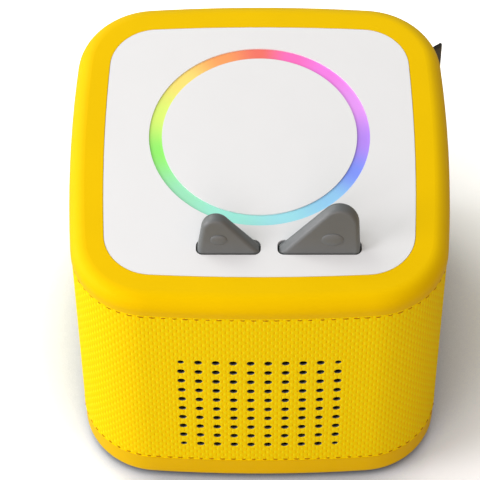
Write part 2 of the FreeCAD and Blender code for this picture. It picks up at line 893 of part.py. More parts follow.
def perforate(owner, radius, corner_radius, depth):
    """A square grid of round holes in a front wall, with its four corner holes smaller."""
    columns, rows = counts["hole_columns"], counts["hole_rows"]
    left = -field_wide / 2
    low = d.field_middle - field_tall / 2
    pitch = d.hole_pitch
    long_rows = Profile(owner, "XZ", d.body_half).circle(left, low + pitch, radius).pocket(depth)
    repeat_feature(owner, long_rows, (field_wide, columns), (field_tall - 2 * pitch, rows - 2))
    short_rows = Profile(owner, "XZ", d.body_half).circle(left + pitch, low, radius).pocket(depth)
    repeat_feature(owner, short_rows, (field_wide - 2 * pitch, columns - 2), (field_tall, 2))
    corners = Profile(owner, "XZ", d.body_half).circle(left, low, corner_radius).pocket(depth)
    repeat_feature(owner, corners, (field_wide, 2), (field_tall, 2))


def ring_wall(name, inset, thick, foot, top):
    """A wall that follows the cube's outline, between two insets and two heights."""
    owner = body(name)
    outer = Profile(owner, "XY", foot)
    outer.bulged(d.body_half, d.side_bulge, d.corner_round, inset).pad(top - foot)
    inner = Profile(owner, "XY", foot)
    inner.bulged(d.body_half, d.side_bulge, d.corner_round, inset + thick)
    inner.pocket(top - foot, forward=True)
    return owner


def make_fabric_sleeve():
    """The woven sleeve, perforated in front of the loudspeaker."""
    sleeve = ring_wall("fabric_sleeve", d.fabric_inset, d.fabric_thick, d.rim_top, frame_foot)
    perforate(sleeve, d.hole_round, d.small_hole_round, d.corner_round)
    return sleeve


def make_foam_sleeve():
    """The soft padding under the fabric, with a window for the loudspeaker."""
    foam = ring_wall("foam_sleeve", foam_inset, d.foam_thick, d.rim_top, frame_foot)
    half = foam_window_half
    window = Profile(foam, "XZ", d.body_half)
    window.rounded(-half, d.field_middle - half, half, d.field_middle + half, d.foam_window_round)
    window.pocket(d.corner_round)
    return foam


def make_pull_tab():
    """A folded ribbon sewn to the sleeve's back corner."""
    setback = d.body_half - d.side_bulge
    spread = d.side_bulge - d.corner_round
    corner_middle = (setback + root_of(2 * spread * spread - setback * setback)) / 2
    reach = d.corner_round - d.fabric_inset + d.tab_gap
    tab = body("pull_tab")
    half = d.tab_thick / 2
    outline = Profile(tab, "XY")
    outline.rounded(0, -half, d.tab_length, half, half * d.end_share).pad(d.tab_height)
    turned(tab, (0, 0, 1), d.tab_lean.number)
    place(tab, corner_middle + reach * cosine(d.tab_angle) + half * sine(d.tab_lean),
          corner_middle + reach * sine(d.tab_angle), d.tab_top - d.tab_height)
    return tab


# ---------------------------------------------------------------- housing and base

def make_inner_housing():
    """The stiff box inside the sleeve: walls, a deck under the panel and the speaker wall."""
    housing = body("inner_housing")
    outer = Profile(housing, "XY", floor_top)
    outer.bulged(d.body_half, d.side_bulge, d.corner_round, housing_inset).pad(frame_under - floor_top)
    inner = Profile(housing, "XY", floor_top)
    inner.bulged(d.body_half, d.side_bulge, d.corner_round, housing_inner)
    inner.pocket(deck_under - floor_top, forward=True)
    above = Profile(housing, "XY", frame_under)
    above.bulged(d.body_half, d.side_bulge, d.corner_round, housing_inner).pocket(frame_under - deck_top)
    half = baffle_half
    wall_front = -(d.body_half - housing_inset) + d.housing_wall / 2
    baffle = Profile(housing, "XZ", -baffle_back)
    baffle.rounded(-half, d.field_middle - half, half, d.field_middle + half, d.grille_round)
    baffle.pad(baffle_back - wall_front)
    seat = Profile(housing, "XZ", d.body_half)
    half = grille_half + d.grille_fit
    seat.rounded(-half, d.field_middle - half, half, d.field_middle + half, d.grille_round)
    seat.pocket(d.body_half + grille_seat)
    Profile(housing, "XZ", -grille_seat).circle(0, d.field_middle, d.speaker_opening).pocket(
        baffle_back - grille_seat)
    taps = Profile(housing, "XZ", -baffle_back)
    for x, z in speaker_screw_places():
        taps.circle(x, z, d.screw_pilot)
    taps.pocket(d.speaker_screw_bite + d.screw_head_room, forward=True)
    carrier = Profile(housing, "XY", deck_top)
    fit = d.carrier_fit
    carrier.rectangle(carrier_left - fit, carrier_front - fit, carrier_right + fit,
                      carrier_back + fit)
    carrier.pocket(d.deck_thick)
    wires = Profile(housing, "XY", deck_top)
    wires.circle(0, top_lead_place, 2 * d.lead_round).pocket(d.deck_thick)
    holes = Profile(housing, "XY", deck_top)
    for across, along in four_corners:
        holes.circle(across * panel_screw_side, along * panel_screw_along, d.screw_hole)
    holes.pocket(d.deck_thick)
    bosses = Profile(housing, "XY", floor_top)
    half = d.housing_boss_half
    wall_side = d.body_half - housing_inner + d.housing_wall / 2
    for across, along in four_corners:
        middle = along * d.housing_screw_along
        near, far = sorted((across * (housing_screw_side - half), across * wall_side),
                           key=lambda size: size.number)
        bosses.rectangle(near, middle - half, far, middle + half)
    bosses.pad(d.housing_boss_height)
    pilots = Profile(housing, "XY", floor_top)
    for across, along in four_corners:
        pilots.circle(across * housing_screw_side, along * d.housing_screw_along, d.screw_pilot)
    pilots.pocket(d.housing_boss_height - d.floor_thick, forward=True)
    half = d.port_bay_half + d.layer_gap
    ports = Profile(housing, "XZ", -d.body_half)
    ports.rectangle(-half, floor_top, half, d.rim_top - d.floor_thick / 4)
    ports.pocket(housing_inner + d.housing_wall, forward=True)
    return housing


def make_base_shell():
    """The yellow base: a rolled rim that carries the sleeve, and a floor."""
    base = body("base_shell")
    outer = Profile(base, "XY", d.foot_stand)
    outer.bulged(d.body_half, d.side_bulge, d.corner_round, d.rim_inset).pad(d.rim_top - d.foot_stand)
    fillet(base, d.bottom_round, at_level(d.foot_stand.number, 0))
    inner = Profile(base, "XY", d.rim_top)
    inner.bulged(d.body_half, d.side_bulge, d.corner_round, housing_inset - d.rim_fit)
    inner.pocket(d.rim_top - floor_top)
    feet = Profile(base, "XY", d.foot_stand)
    for across, along in four_corners:
        feet.circle(across * foot_place, along * foot_place, d.foot_round + d.door_fit)
    feet.pocket(d.foot_thick - d.foot_stand, forward=True)
    heads = Profile(base, "XY", d.foot_stand)
    holes = Profile(base, "XY", floor_top)
    for across, along in four_corners:
        x, y = across * housing_screw_side, along * d.housing_screw_along
        heads.circle(x, y, d.screw_head + d.screw_head_room)
        holes.circle(x, y, d.screw_hole)
    heads.pocket(d.screw_head_tall + d.screw_head_room, forward=True)
    holes.pocket(d.floor_thick)
    fit = d.door_fit
    wide = door_half + fit
    rebate = Profile(base, "XY", d.foot_stand)
    rebate.rounded(-wide, tray_front - fit, wide, tray_back + fit, 2 * d.door_ledge)
    rebate.pocket(d.door_plate, forward=True)
    mouth = Profile(base, "XY", floor_top)
    mouth.rectangle(-bay_half, bay_front, bay_half, bay_back)
    mouth.pocket(d.floor_thick)
    bosses = Profile(base, "XY", floor_top)
    standoffs = Profile(base, "XY", floor_top)
    for across in (-1, 1):
        bosses.circle(across * door_screw_place, d.cell_middle, d.door_boss_round)
    for x, y in board_screw_places():
        standoffs.circle(x, y, d.standoff_round)
    bosses.pad(d.door_boss_height)
    standoffs.pad(board_under - floor_top)
    pilots = Profile(base, "XY", d.foot_stand + d.door_plate)
    for across in (-1, 1):
        pilots.circle(across * door_screw_place, d.cell_middle, d.screw_pilot)
    pilots.pocket(d.door_boss_height, forward=True)
    taps = Profile(base, "XY", board_under)
    for x, y in board_screw_places():
        taps.circle(x, y, d.screw_pilot)
    taps.pocket(board_under - d.foot_stand - d.screw_head_room - d.foot_thick / 2)
    bay = Profile(base, "XZ", -d.body_half)
    tall = d.port_bay_tall / 2
    bay.rectangle(-d.port_bay_half, d.port_height - tall, d.port_bay_half, d.port_height + tall)
    bay.pocket(d.housing_wall + housing_inset, forward=True)
    return base


def board_screw_places():
    inset = d.board_screw_inset
    return [(across * (board_half - inset), end) for across in (-1, 1)
            for end in (board_front + inset, board_back - 2 * inset)]


def make_rubber_feet():
    feet = [cylinder("foot_%d" % n, d.foot_round, d.foot_thick, across * foot_place, along * foot_place)
            for n, (across, along) in enumerate(four_corners)]
    return group("rubber_feet", feet)


def make_housing_screws():
    seat = d.foot_stand + d.screw_head_tall + d.screw_head_room
    length = d.housing_boss_height - d.floor_thick - d.screw_tip_room
    screws = [screw("housing_screw_%d" % n, across * housing_screw_side, along * d.housing_screw_along,
                    seat, length) for n, (across, along) in enumerate(four_corners)]
    return group("housing_screws", screws)


def make_battery_door():
    """The cover of the battery bay: a plate in the floor's rebate and a pad in its mouth."""
    fit = d.door_fit
    door = body("battery_door")
    plate = Profile(door, "XY", d.foot_stand)
    plate.rounded(-door_half, tray_front, door_half, tray_back, 2 * d.door_ledge).pad(d.door_plate)
    pad = Profile(door, "XY", d.foot_stand + d.door_plate)
    pad.rectangle(-bay_half + fit, bay_front + fit, bay_half - fit, bay_back - fit)
    pad.pad(d.floor_thick - d.door_plate)
    heads = Profile(door, "XY", d.foot_stand)
    holes = Profile(door, "XY", d.foot_stand)
    for across in (-1, 1):
        heads.circle(across * door_screw_place, d.cell_middle, d.screw_head + d.screw_head_room)
        holes.circle(across * door_screw_place, d.cell_middle, d.screw_hole)
    heads.pocket(d.door_plate / 2, forward=True)
    holes.pocket(d.door_plate, forward=True)
    return door


def make_door_screws():
    """The heads stand slightly proud of the door, inside the height of the feet."""
    seat = d.foot_stand + d.door_plate / 2
    length = d.door_boss_height
    screws = []
    for n, across in enumerate((-1, 1)):
        x = across * door_screw_place
        head = cylinder("door_head_%d" % n, d.screw_head, d.door_plate / 2, x, d.cell_middle, d.foot_stand)
        shank = cylinder("door_shank_%d" % n, d.screw_shank, length, x, d.cell_middle, seat)
        notch = box("door_notch_%d" % n, (x - d.screw_head, d.cell_middle - d.drive_half / 3, d.foot_stand),
                    (x + d.screw_head, d.cell_middle + d.drive_half / 3, d.foot_stand + d.drive_deep / 2))
        screws.append(cut("door_screw_%d" % n, fused("door_blank_%d" % n, [head, shank]), notch))
    return group("door_screws", screws)


def make_battery_tray():
    """The box over the cells, open towards the door."""
    outer = box("tray_outer", (-tray_half, tray_front, floor_top),
                (tray_half, tray_back, bay_top + d.tray_wall))
    inner = box("tray_inner", (-bay_half, bay_front, floor_top), (bay_half, bay_back, bay_top))
    return cut("battery_tray", outer, inner)


def cell_places():
    first = d.cell_middle - d.cell_pitch * (d.cell_count - 1) / 2
    return [(n, first + n * d.cell_pitch) for n in range(counts["cell_count"])]


def make_battery_cells():
    """Cells side by side, each turned the other way from its neighbour."""
    cells = []
    for n, y in cell_places():
        end = d.cell_length / 2
        can = cylinder("cell_can_%d" % n, d.cell_round, d.cell_length, -end, y, cell_level, "X")
        nub_start = end if n % 2 else -end - d.cell_nub
        nub = cylinder("cell_nub_%d" % n, d.cell_nub_round, d.cell_nub, nub_start, y, cell_level, "X")
        cells.append(fused("cell_%d" % n, [can, nub]))
    return group("battery_cells", cells)


def make_battery_contacts():
    """A plate at each end of the bay, against the tray's wall."""
    plates = []
    tall = d.contact_half_tall
    for n, across in enumerate((-1, 1)):
        near, far = sorted((across * bay_half, across * (bay_half - d.contact_thick)),
                           key=lambda size: size.number)
        plates.append(box("contact_%d" % n, (near, cells_front + d.cell_clear, cell_level - tall),
                          (far, cells_back - d.cell_clear, cell_level + tall)))
    return group("battery_contacts", plates)


# ---------------------------------------------------------------- board and ports

def make_main_board():
    board = box("board_plate", (-board_half, board_front, board_under),
                (board_half, board_back, d.board_top))
    holes = [cylinder("board_hole_%d" % n, d.screw_hole, d.board_thick, x, y, board_under)
             for n, (x, y) in enumerate(board_screw_places())]
    return cut("main_board", board, fused("board_holes", holes))


def make_board_screws():
    length = d.board_top - floor_top
    screws = [screw("board_screw_%d" % n, x, y, d.board_top, length, "down")
              for n, (x, y) in enumerate(board_screw_places())]
    return group("board_screws", screws)


def make_rf_shield():
    """The metal can over the processor and the radio."""
    half = d.shield_half_wide
    front = board_front + d.board_screw_inset
    back = front + d.shield_deep
    top = d.board_top + d.shield_tall
    outer = box("shield_outer", (-half, front, d.board_top), (half, back, top))
    wall = d.shield_wall
    inner = box("shield_inner", (-half + wall, front + wall, d.board_top),
                (half - wall, back - wall, top - wall))
    return cut("rf_shield", outer, inner)


def make_main_chips():
    """The chips on the board: processor and memory under the shield, amplifier and charger."""
    spots = {"processor": (d.processor_place, d.processor_along, d.processor_half),
             "memory": (d.memory_place, d.memory_along, d.memory_half),
             "amplifier": (-chip_side, d.amplifier_along, d.amplifier_half),
             "charger": (chip_side, d.charger_along, d.charger_half),
             "clock": (chip_side, d.clock_along, d.clock_half)}
    chips = [box(name + "_chip", (x - half, board_front + along - half, d.board_top),
                 (x + half, board_front + along + half, d.board_top + d.chip_tall))
             for name, (x, along, half) in spots.items()]
    return group("main_chips", chips)


def plug_places():
    """The middles of the three lead connectors near the board's front edge."""
    return [(x, plug_along) for x in (-plug_side, d.top_plug_place, plug_side)]


def make_board_connectors():
    """Small white headers in which the leads end."""
    headers = []
    for n, (x, y) in enumerate(plug_places()):
        half = d.plug_half
        headers.append(box("header_%d" % n, (x - half, y - half, d.board_top),
                           (x + half, y + half, d.board_top + d.plug_tall)))
    return group("board_connectors", headers)


def make_port_plate():
    """The dark plate in the base's back, with the two ports' openings."""
    fit = d.port_fit
    half, tall = d.port_bay_half - fit, d.port_bay_tall / 2 - fit
    back = port_plate_face
    plate = box("port_blank", (-half, back - d.port_plate_thick, d.port_height - tall),
                (half, back, d.port_height + tall))
    jack = cylinder("port_jack_hole", d.jack_barrel + fit, d.port_plate_thick, d.jack_place,
                    back - d.port_plate_thick, d.port_height, "Y")
    usb = body("port_usb_hole")
    mouth = Profile(usb, "XZ", -back)
    wide, high = d.usb_half_wide + fit, d.usb_half_tall + fit
    mouth.rounded(d.usb_place - wide, d.port_height - high, d.usb_place + wide, d.port_height + high,
                  high * d.end_share).pad(d.port_plate_thick)
    return cut("port_plate", plate, fused("port_holes", [jack, usb]))


def make_headphone_jack():
    """A 3.5 mm socket: a moulded body on the board and a round barrel in the plate."""
    face = port_plate_face
    body_end = face - d.port_plate_thick - d.port_fit
    body_start = face - d.jack_depth - d.port_plate_thick
    block = box("jack_block", (d.jack_place - d.jack_half, body_start, d.board_top),
                (d.jack_place + d.jack_half, body_end, d.board_top + d.jack_tall))
    barrel = cylinder("jack_barrel", d.jack_barrel, face - body_end + d.port_fit, d.jack_place,
                      body_end - d.port_fit, d.port_height, "Y")
    bore = cylinder("jack_bore", d.jack_bore, d.jack_depth, d.jack_place, face - d.jack_depth,
                    d.port_height, "Y")
    return cut("headphone_jack", fused("jack_solid", [block, barrel]), bore)


def make_usb_port():
    """The charging socket: an oval metal shell with a tongue, on two feet."""
    face = port_plate_face - d.port_fit
    shell = body("usb_shell")
    outer = Profile(shell, "XZ", -face)
    wide, high = d.usb_half_wide, d.usb_half_tall
    outer.rounded(d.usb_place - wide, d.port_height - high, d.usb_place + wide, d.port_height + high,
                  high * d.end_share).pad(d.usb_length, forward=True)
    inner = Profile(shell, "XZ", -face)
    wide, high = wide - d.usb_shell, high - d.usb_shell
    inner.rounded(d.usb_place - wide, d.port_height - high, d.usb_place + wide, d.port_height + high,
                  high * d.end_share).pocket(d.usb_length - d.usb_back_wall, forward=True)
    half = d.usb_tongue_thick / 2
    back = face - d.usb_length
    tongue = box("usb_tongue", (d.usb_place - wide + d.usb_back_wall, back, d.port_height - half),
                 (d.usb_place + wide - d.usb_back_wall, face - d.usb_back_wall, d.port_height + half))
    feet = [box("usb_foot_%d" % n, (d.usb_place + x - d.usb_shell, back, d.board_top),
                (d.usb_place + x + d.usb_shell, back + d.usb_back_wall, d.port_height - high))
            for n, x in enumerate((-d.usb_half_wide / 2, d.usb_half_wide / 2))]
    return fused("usb_port", [shell, tongue] + feet)


# ---------------------------------------------------------------- light ring and figure place

def make_led_board():
    thick = d.led_board_thick
    outer = cylinder("led_board_outer", led_board_outer, thick, 0, ring_middle, deck_top)
    inner = cylinder("led_board_inner", led_board_inner, thick, 0, ring_middle, deck_top)
    return cut("led_board", outer, inner)


def make_ring_leds():
    """The lamps, evenly spaced under the middle of the ring."""
    middle = (ring_inner + ring_outer) / 2
    half = d.led_length / 2
    level = deck_top + d.led_board_thick
    lamps = []
    for n in range(counts["led_count"]):
        angle = sized(FULL_TURN * n) / d.led_count
        x = middle * sine(angle)
        y = ring_middle + middle * cosine(angle)
        lamps.append(box("led_%d" % n, (x - half, y - half, level),
                         (x + half, y + half, level + d.led_height)))
    return group("ring_leds", lamps)


def make_tag_antenna():
    """The flat reading coil under the disc."""
    level = panel_under - d.coil_thick
    outer = cylinder("antenna_outer", coil_outer, d.coil_thick, 0, ring_middle, level)
    inner = cylinder("antenna_inner", d.coil_inner, d.coil_thick, 0, ring_middle, level)
    return cut("tag_antenna", outer, inner)


def make_magnet_holder():
    """A cup on the deck that holds the figure magnet against the disc."""
    cup = cylinder("holder_cup", d.magnet_round + d.holder_wall, d.deck_drop, 0, ring_middle, deck_top)
    pocket = cylinder("holder_pocket", d.magnet_round + d.magnet_gap, d.magnet_thick, 0, ring_middle,
                      panel_under - d.magnet_thick)
    return cut("magnet_holder", cup, pocket)


def make_figure_magnet():
    return cylinder("figure_magnet", d.magnet_round, d.magnet_thick, 0, ring_middle,
                    panel_under - d.magnet_thick)


def make_panel_screws():
    """The screws go up through the deck into the panel's bosses."""
    screws = [screw("panel_screw_%d" % n, across * panel_screw_side, along * panel_screw_along,
                    deck_under, d.deck_thick + d.deck_drop - d.screw_tip_room)
              for n, (across, along) in enumerate(four_corners)]
    return group("panel_screws", screws)


# ---------------------------------------------------------------- ear mechanism

def lug_places():
    """The walls between which the ears turn, as pairs of left and right faces."""
    ears = [(left + d.ear_gap, right - d.ear_gap) for left, right in slot_ends()]
    gap = d.lug_gap
    outer_left = ears[0][0] - gap
    outer_right = ears[1][1] + gap
    return [(carrier_left + d.carrier_wall / 2, outer_left), (ears[0][1] + gap, ears[1][0] - gap),
            (outer_right, carrier_right - d.carrier_wall / 2)]


def make_ear_carrier():
    """The moulded tray in the deck, with lugs for the ears' pins."""
    carrier = body("ear_carrier")
    wall = d.carrier_wall
    left, right, front, back = carrier_left, carrier_right, carrier_front, carrier_back
    Profile(carrier, "XY", carrier_floor).rectangle(left, front, right, back).pad(d.carrier_depth)
    flange = Profile(carrier, "XY", deck_top)
    wide = d.carrier_flange
    flange.rectangle(left - wide, front, right + wide, back).pad(wall)
    inner = Profile(carrier, "XY", carrier_floor + wall)
    inner.rectangle(left + wall, front + wall, right - wall, back - wall)
    inner.pocket(d.carrier_depth, forward=True)
    lugs = Profile(carrier, "XY", carrier_floor + wall / 2)
    half = d.lug_half_deep
    for start, end in lug_places():
        lugs.rectangle(start, ear_middle - half, end, ear_middle + half)
    lugs.pad(pivot_level + d.lug_above - carrier_floor - wall / 2)
    Profile(carrier, "YZ").circle(ear_middle, pivot_level, d.pin_round + d.pin_seat).pocket(
        4 * d.body_half, both=True)
    for x in (left - wide / 2, right + wide / 2):
        Profile(carrier, "XY", deck_top).circle(x, ear_middle, d.screw_hole).pocket(wall, forward=True)
    return carrier


def make_ear_pins():
    """A steel pin through each ear's foot, held in the lugs on both sides."""
    pins = []
    grips = ((d.pin_grip, d.pin_grip_between), (d.pin_grip_between, d.pin_grip))
    for n, ((left, right), (grip_left, grip_right)) in enumerate(zip(slot_ends(), grips)):
        start = left + d.ear_gap - d.lug_gap - grip_left
        end = right - d.ear_gap + d.lug_gap + grip_right
        pins.append(cylinder("pin_%d" % n, d.pin_round, end - start, start, ear_middle, pivot_level, "X"))
    return group("ear_pins", pins)


def make_switch_board():
    trim = d.switch_board_trim
    wall = d.carrier_wall
    return box("switch_board", (carrier_left + wall + trim, switch_board_back, carrier_floor + wall),
               (carrier_right - wall - trim, switch_front, deck_top))


def switch_middles():
    """The middle of each ear, where its finger meets its switch."""
    return [(left + right) / 2 for left, right in slot_ends()]


def make_volume_switches():
    """Two switch bodies on the board, each with a bore for its plunger."""
    bodies = []
    for n, x in enumerate(switch_middles()):
        half, tall = d.switch_half, d.switch_height / 2
        block = box("switch_block_%d" % n, (x - half, switch_front, press_level - tall),
                    (x + half, switch_face, press_level + tall))
        depth = d.plunger_inside + d.plunger_room
        bore = cylinder("switch_bore_%d" % n, d.plunger_round + d.plunger_running, depth, x,
                        switch_face - depth, press_level, "Y")
        bodies.append(cut("switch_%d" % n, block, bore))
    return group("volume_switches", bodies)


def make_plungers():
    """The moving caps of the two switches."""
    plungers = []
    for name, x in zip(("down_switch_plunger", "up_switch_plunger"), switch_middles()):
        start = switch_face - d.plunger_inside
        length = lever_face - d.plunger_gap - start
        plungers.append(cylinder(name, d.plunger_round, length, x, start, press_level, "Y"))
    return plungers


def make_carrier_screws():
    """Two screws hold the carrier's flange to the deck."""
    wide = d.carrier_flange / 2
    seat = deck_top + d.carrier_wall
    places = (carrier_left - wide, carrier_right + wide)
    screws = [screw("carrier_screw_%d" % n, x, ear_middle, seat, d.carrier_wall, "down")
              for n, x in enumerate(places)]
    return group("carrier_screws", screws)


# ---------------------------------------------------------------- loudspeaker

def speaker_piece(name, points):
    """A turned piece on the loudspeaker's axis; heights count forwards from the baffle."""
    return turned_piece(name, points, 0, 0, d.field_middle, "Y")


def forward_of(y):
    """A place along the loudspeaker's axis, as a height of its profile."""
    return -sized(y)


def make_speaker_gasket():
    level, top = forward_of(gasket_back), forward_of(baffle_back)
    hole = d.surround_outer + d.layer_gap
    return speaker_piece("speaker_gasket", [(hole, level), (d.basket_round, level),
                                            (d.basket_round, top), (hole, top)])


def make_speaker_basket():
    """The pressed frame: a flat flange, a sloping wall and a bottom round the magnet."""
    wall = d.basket_wall
    top, under = forward_of(gasket_back), forward_of(flange_back)
    floor = forward_of(magnet_front)
    inner = d.surround_inner + 2 * wall
    neck = d.gap_outer + wall
    points = [(inner + wall, top), (d.basket_round, top), (d.basket_round, under),
              (inner + 2 * wall, under), (d.basket_neck + wall, floor), (neck, floor),
              (neck, floor + wall), (d.basket_neck, floor + wall)]
    return speaker_piece("speaker_basket", points)


def make_cone_surround():
    """The soft roll between the basket's flange and the cone."""
    level = forward_of(gasket_back)
    thick = d.surround_thick
    middle = (d.surround_outer + d.surround_inner) / 2
    rise = level + d.surround_rise
    points = [(d.surround_inner, level), (d.surround_inner + thick, level), (middle, rise - thick),
              (d.surround_outer - thick, level), (d.surround_outer, level),
              (d.surround_outer, level + thick), (middle + thick, rise), (middle - thick, rise),
              (d.surround_inner, level + thick)]
    return speaker_piece("cone_surround", points)


def make_speaker_cone():
    """The paper cone, from the surround's inner edge down to the coil."""
    top = forward_of(gasket_back)
    low = top - d.cone_depth
    thick = d.cone_thick
    points = [(d.cone_neck, low), (d.cone_neck + thick, low), (d.cone_outer, top - thick),
              (d.cone_outer, top), (d.cone_outer - thick, top), (d.cone_neck, low + thick)]
    return speaker_piece("speaker_cone", points)


def make_dust_cap():
    """The domed cap over the coil, standing on the cone."""
    top = forward_of(gasket_back)
    slope = (d.cone_outer - d.cone_thick - d.cone_neck) / (d.cone_depth - d.cone_thick)
    level = top - d.cone_depth + d.cone_thick + (d.cap_round - d.cone_neck) / slope
    thick = d.cone_thick
    rise = level + d.cap_rise
    shoulder = level + d.cap_shoulder_rise
    points = [(d.cap_round - thick, level), (d.cap_round, level), (d.cap_shoulder, shoulder),
              (d.cap_crown, rise), (0, rise + thick / 2), (0, rise - thick / 2),
              (d.cap_crown - thick / 2, rise - thick), (d.cap_shoulder - thick, shoulder - thick)]
    return speaker_piece("dust_cap", points)


def make_voice_coil():
    """The coil's former with its winding, in the magnet's gap."""
    top = forward_of(gasket_back) - d.cone_depth
    low = top - d.former_length
    wall = d.coil_wall
    inner = d.coil_former - wall
    points = [(inner, low), (d.coil_former + wall, low), (d.coil_former + wall, low + d.winding_length),
              (d.coil_former, low + d.winding_length), (d.coil_former, top), (inner, top)]
    return speaker_piece("voice_coil", points)


def make_pole_plate():
    """The steel washer on the magnet's front, round the coil's gap."""
    top = forward_of(magnet_front)
    low = top - d.pole_plate_thick
    outer = d.speaker_magnet_round - d.basket_wall
    return speaker_piece("pole_plate", [(d.gap_outer, low), (outer, low), (outer, top), (d.gap_outer, top)])


def make_speaker_magnet():
    top = forward_of(magnet_front) - d.pole_plate_thick
    low = top - d.speaker_magnet_thick
    hole, outer = d.speaker_magnet_hole, d.speaker_magnet_round
    return speaker_piece("speaker_magnet", [(hole, low), (outer, low), (outer, top), (hole, top)])


def make_yoke():
    """The back plate with its centre pole."""
    top = forward_of(magnet_front)
    face = top - d.pole_plate_thick - d.speaker_magnet_thick
    low = face - d.yoke_thick
    outer = d.speaker_magnet_round - d.basket_wall
    return speaker_piece("speaker_yoke", [(0, low), (outer, low), (outer, face), (d.pole_round, face),
                                          (d.pole_round, top), (0, top)])


def make_spider():
    """The corrugated disc that centres the coil."""
    level = forward_of(magnet_front) + 2 * d.basket_wall
    thick = d.spider_thick
    ripple = (d.spider_outer - d.spider_inner) / 4
    low_side, high_side = [], []
    for n in range(5):
        radius = d.spider_inner + n * ripple
        height = level + (thick if n % 2 else 0)
        low_side.append((radius, height))
        high_side.append((radius, height + thick))
    foot = [(d.spider_outer, level - d.basket_wall), (d.spider_outer - thick, level - d.basket_wall)]
    inner_foot = (d.spider_outer - thick, level)
    return speaker_piece("speaker_spider", low_side[:-1] + [inner_foot, foot[1], foot[0]]
                         + list(reversed(high_side)))


def speaker_screw_places():
    """Four places round the basket, where each screw's head overlaps the flange's edge."""
    reach = (d.basket_round + d.screw_head - d.speaker_screw_overlap) * cosine(sized(45))
    return [(across * reach, d.field_middle + along * reach) for across, along in four_corners]


def make_speaker_screws():
    length = d.gasket_thick + d.basket_flange + d.speaker_screw_bite
    screws = [screw("speaker_screw_%d" % n, x, flange_back, z, length, "front")
              for n, (x, z) in enumerate(speaker_screw_places())]
    return group("speaker_screws", screws)


def make_speaker_grille():
    """The black grille behind the fabric: a perforated face on a low wall."""
    grille = body("speaker_grille")
    half = grille_half
    low, high = d.field_middle - half, d.field_middle + half
    block = Profile(grille, "XZ", -grille_front)
    block.rounded(-half, low, half, high, d.grille_round)
    block.pad(grille_seat - grille_front, forward=False)
    wall = d.grille_wall
    hollow = Profile(grille, "XZ", -grille_seat)
    hollow.rounded(-half + wall, low + wall, half - wall, high - wall, d.grille_round - wall)
    hollow.pocket(grille_seat - grille_front - d.grille_thick, forward=True)
    perforate(grille, d.grille_hole_round, d.grille_hole_round, d.corner_round)
    return grille


# ---------------------------------------------------------------- leads and antenna

def lead(name, points):
    """A round lead: straight runs joined by tangent arcs, with a flat cut at each end."""
    spots = [FreeCAD.Vector(*(sized(part).number for part in point)) for point in points]
    runs = [spots[n + 1] - spots[n] for n in range(len(spots) - 1)]
    edges = []
    start = spots[0]
    radii = []
    for n in range(1, len(spots) - 1):
        before, after = runs[n - 1], runs[n]
        turn = before.getAngle(after)
        back = d.lead_bend_share.number * min(before.Length, after.Length)
        radii.append(back / math.tan(turn / 2))
        first = spots[n] - before.normalize() * back
        last = spots[n] + FreeCAD.Vector(after).normalize() * back
        chord = (first + last) / 2 - spots[n]
        reach = chord.Length
        bisector = FreeCAD.Vector(chord).normalize()
        centre_reach = math.hypot(back, radii[-1])
        middle = spots[n] + bisector * (centre_reach - radii[-1])
        edges.append(Part.LineSegment(start, first).toShape())
        edges.append(Part.Arc(first, middle, last).toShape())
        start = last
        runs[n] = spots[n + 1] - spots[n]
    edges.append(Part.LineSegment(start, spots[-1]).toShape())
    path = Part.Wire(edges)
    section = Part.Wire([Part.Circle(spots[0], spots[1] - spots[0], d.lead_round.number).toShape()])
    tube = path.makePipeShell([section], True, True)
    expected = math.pi * d.lead_round.number ** 2 * path.Length
    print("%s: %.1f mm long, tightest bend %.1f mm, volume %.3f of its run"
          % (name, path.Length, min(radii), tube.Volume / expected))
    piece = document.addObject("Part::Feature", name)
    piece.Shape = tube
    return piece


def make_leads():
    """The leads from the loudspeaker, the battery and the top down to the board."""
    plugs = plug_places()
    plug_level = d.board_top + d.plug_tall + d.layer_gap
    lane = bay_top + d.tray_wall + 2 * d.lead_round
    yoke_back = magnet_front + d.pole_plate_thick + d.speaker_magnet_thick + d.yoke_thick
    left, middle, right = (plug[0] for plug in plugs)
    plug_y = plugs[0][1]
    speaker = lead("speaker_lead", [
        (-d.basket_neck - d.basket_wall, magnet_front + d.layer_gap, d.field_middle),
        (-d.basket_neck - d.basket_wall, yoke_back, d.field_middle),
        (left, yoke_back + 2 * d.cap_round, d.field_middle - d.cap_round),
        (left, plug_y, d.field_middle / 2), (left, plug_y, plug_level)])
    crest = lane + 2 * d.cap_rise
    battery = lead("battery_lead", [
        (tray_half - 2 * d.tray_wall, d.cell_middle, bay_top + d.tray_wall + d.layer_gap),
        (tray_half - 2 * d.tray_wall, d.cell_middle, crest),
        (right, plug_y - d.cap_round, crest), (right, plug_y, lane), (right, plug_y, plug_level)])
    top = lead("top_lead", [
        (0, top_lead_place, deck_top - d.layer_gap), (0, top_lead_place, deck_under - 2 * d.cap_round),
        (middle, plug_y + d.cap_round, d.field_middle), (middle, plug_y, d.field_middle / 2),
        (middle, plug_y, plug_level)])
    return [speaker, battery, top]


def make_radio_antenna():
    """A small flat antenna stuck to the housing's side wall."""
    side = d.body_half - housing_inner
    drop = d.antenna_half * d.antenna_half / (2 * d.side_bulge)
    far = side - drop - d.layer_gap
    return box("radio_antenna", (far - d.antenna_thick, -d.antenna_half, d.field_middle),
               (far, d.antenna_half, d.field_middle + d.antenna_tall))


# ---------------------------------------------------------------- the whole

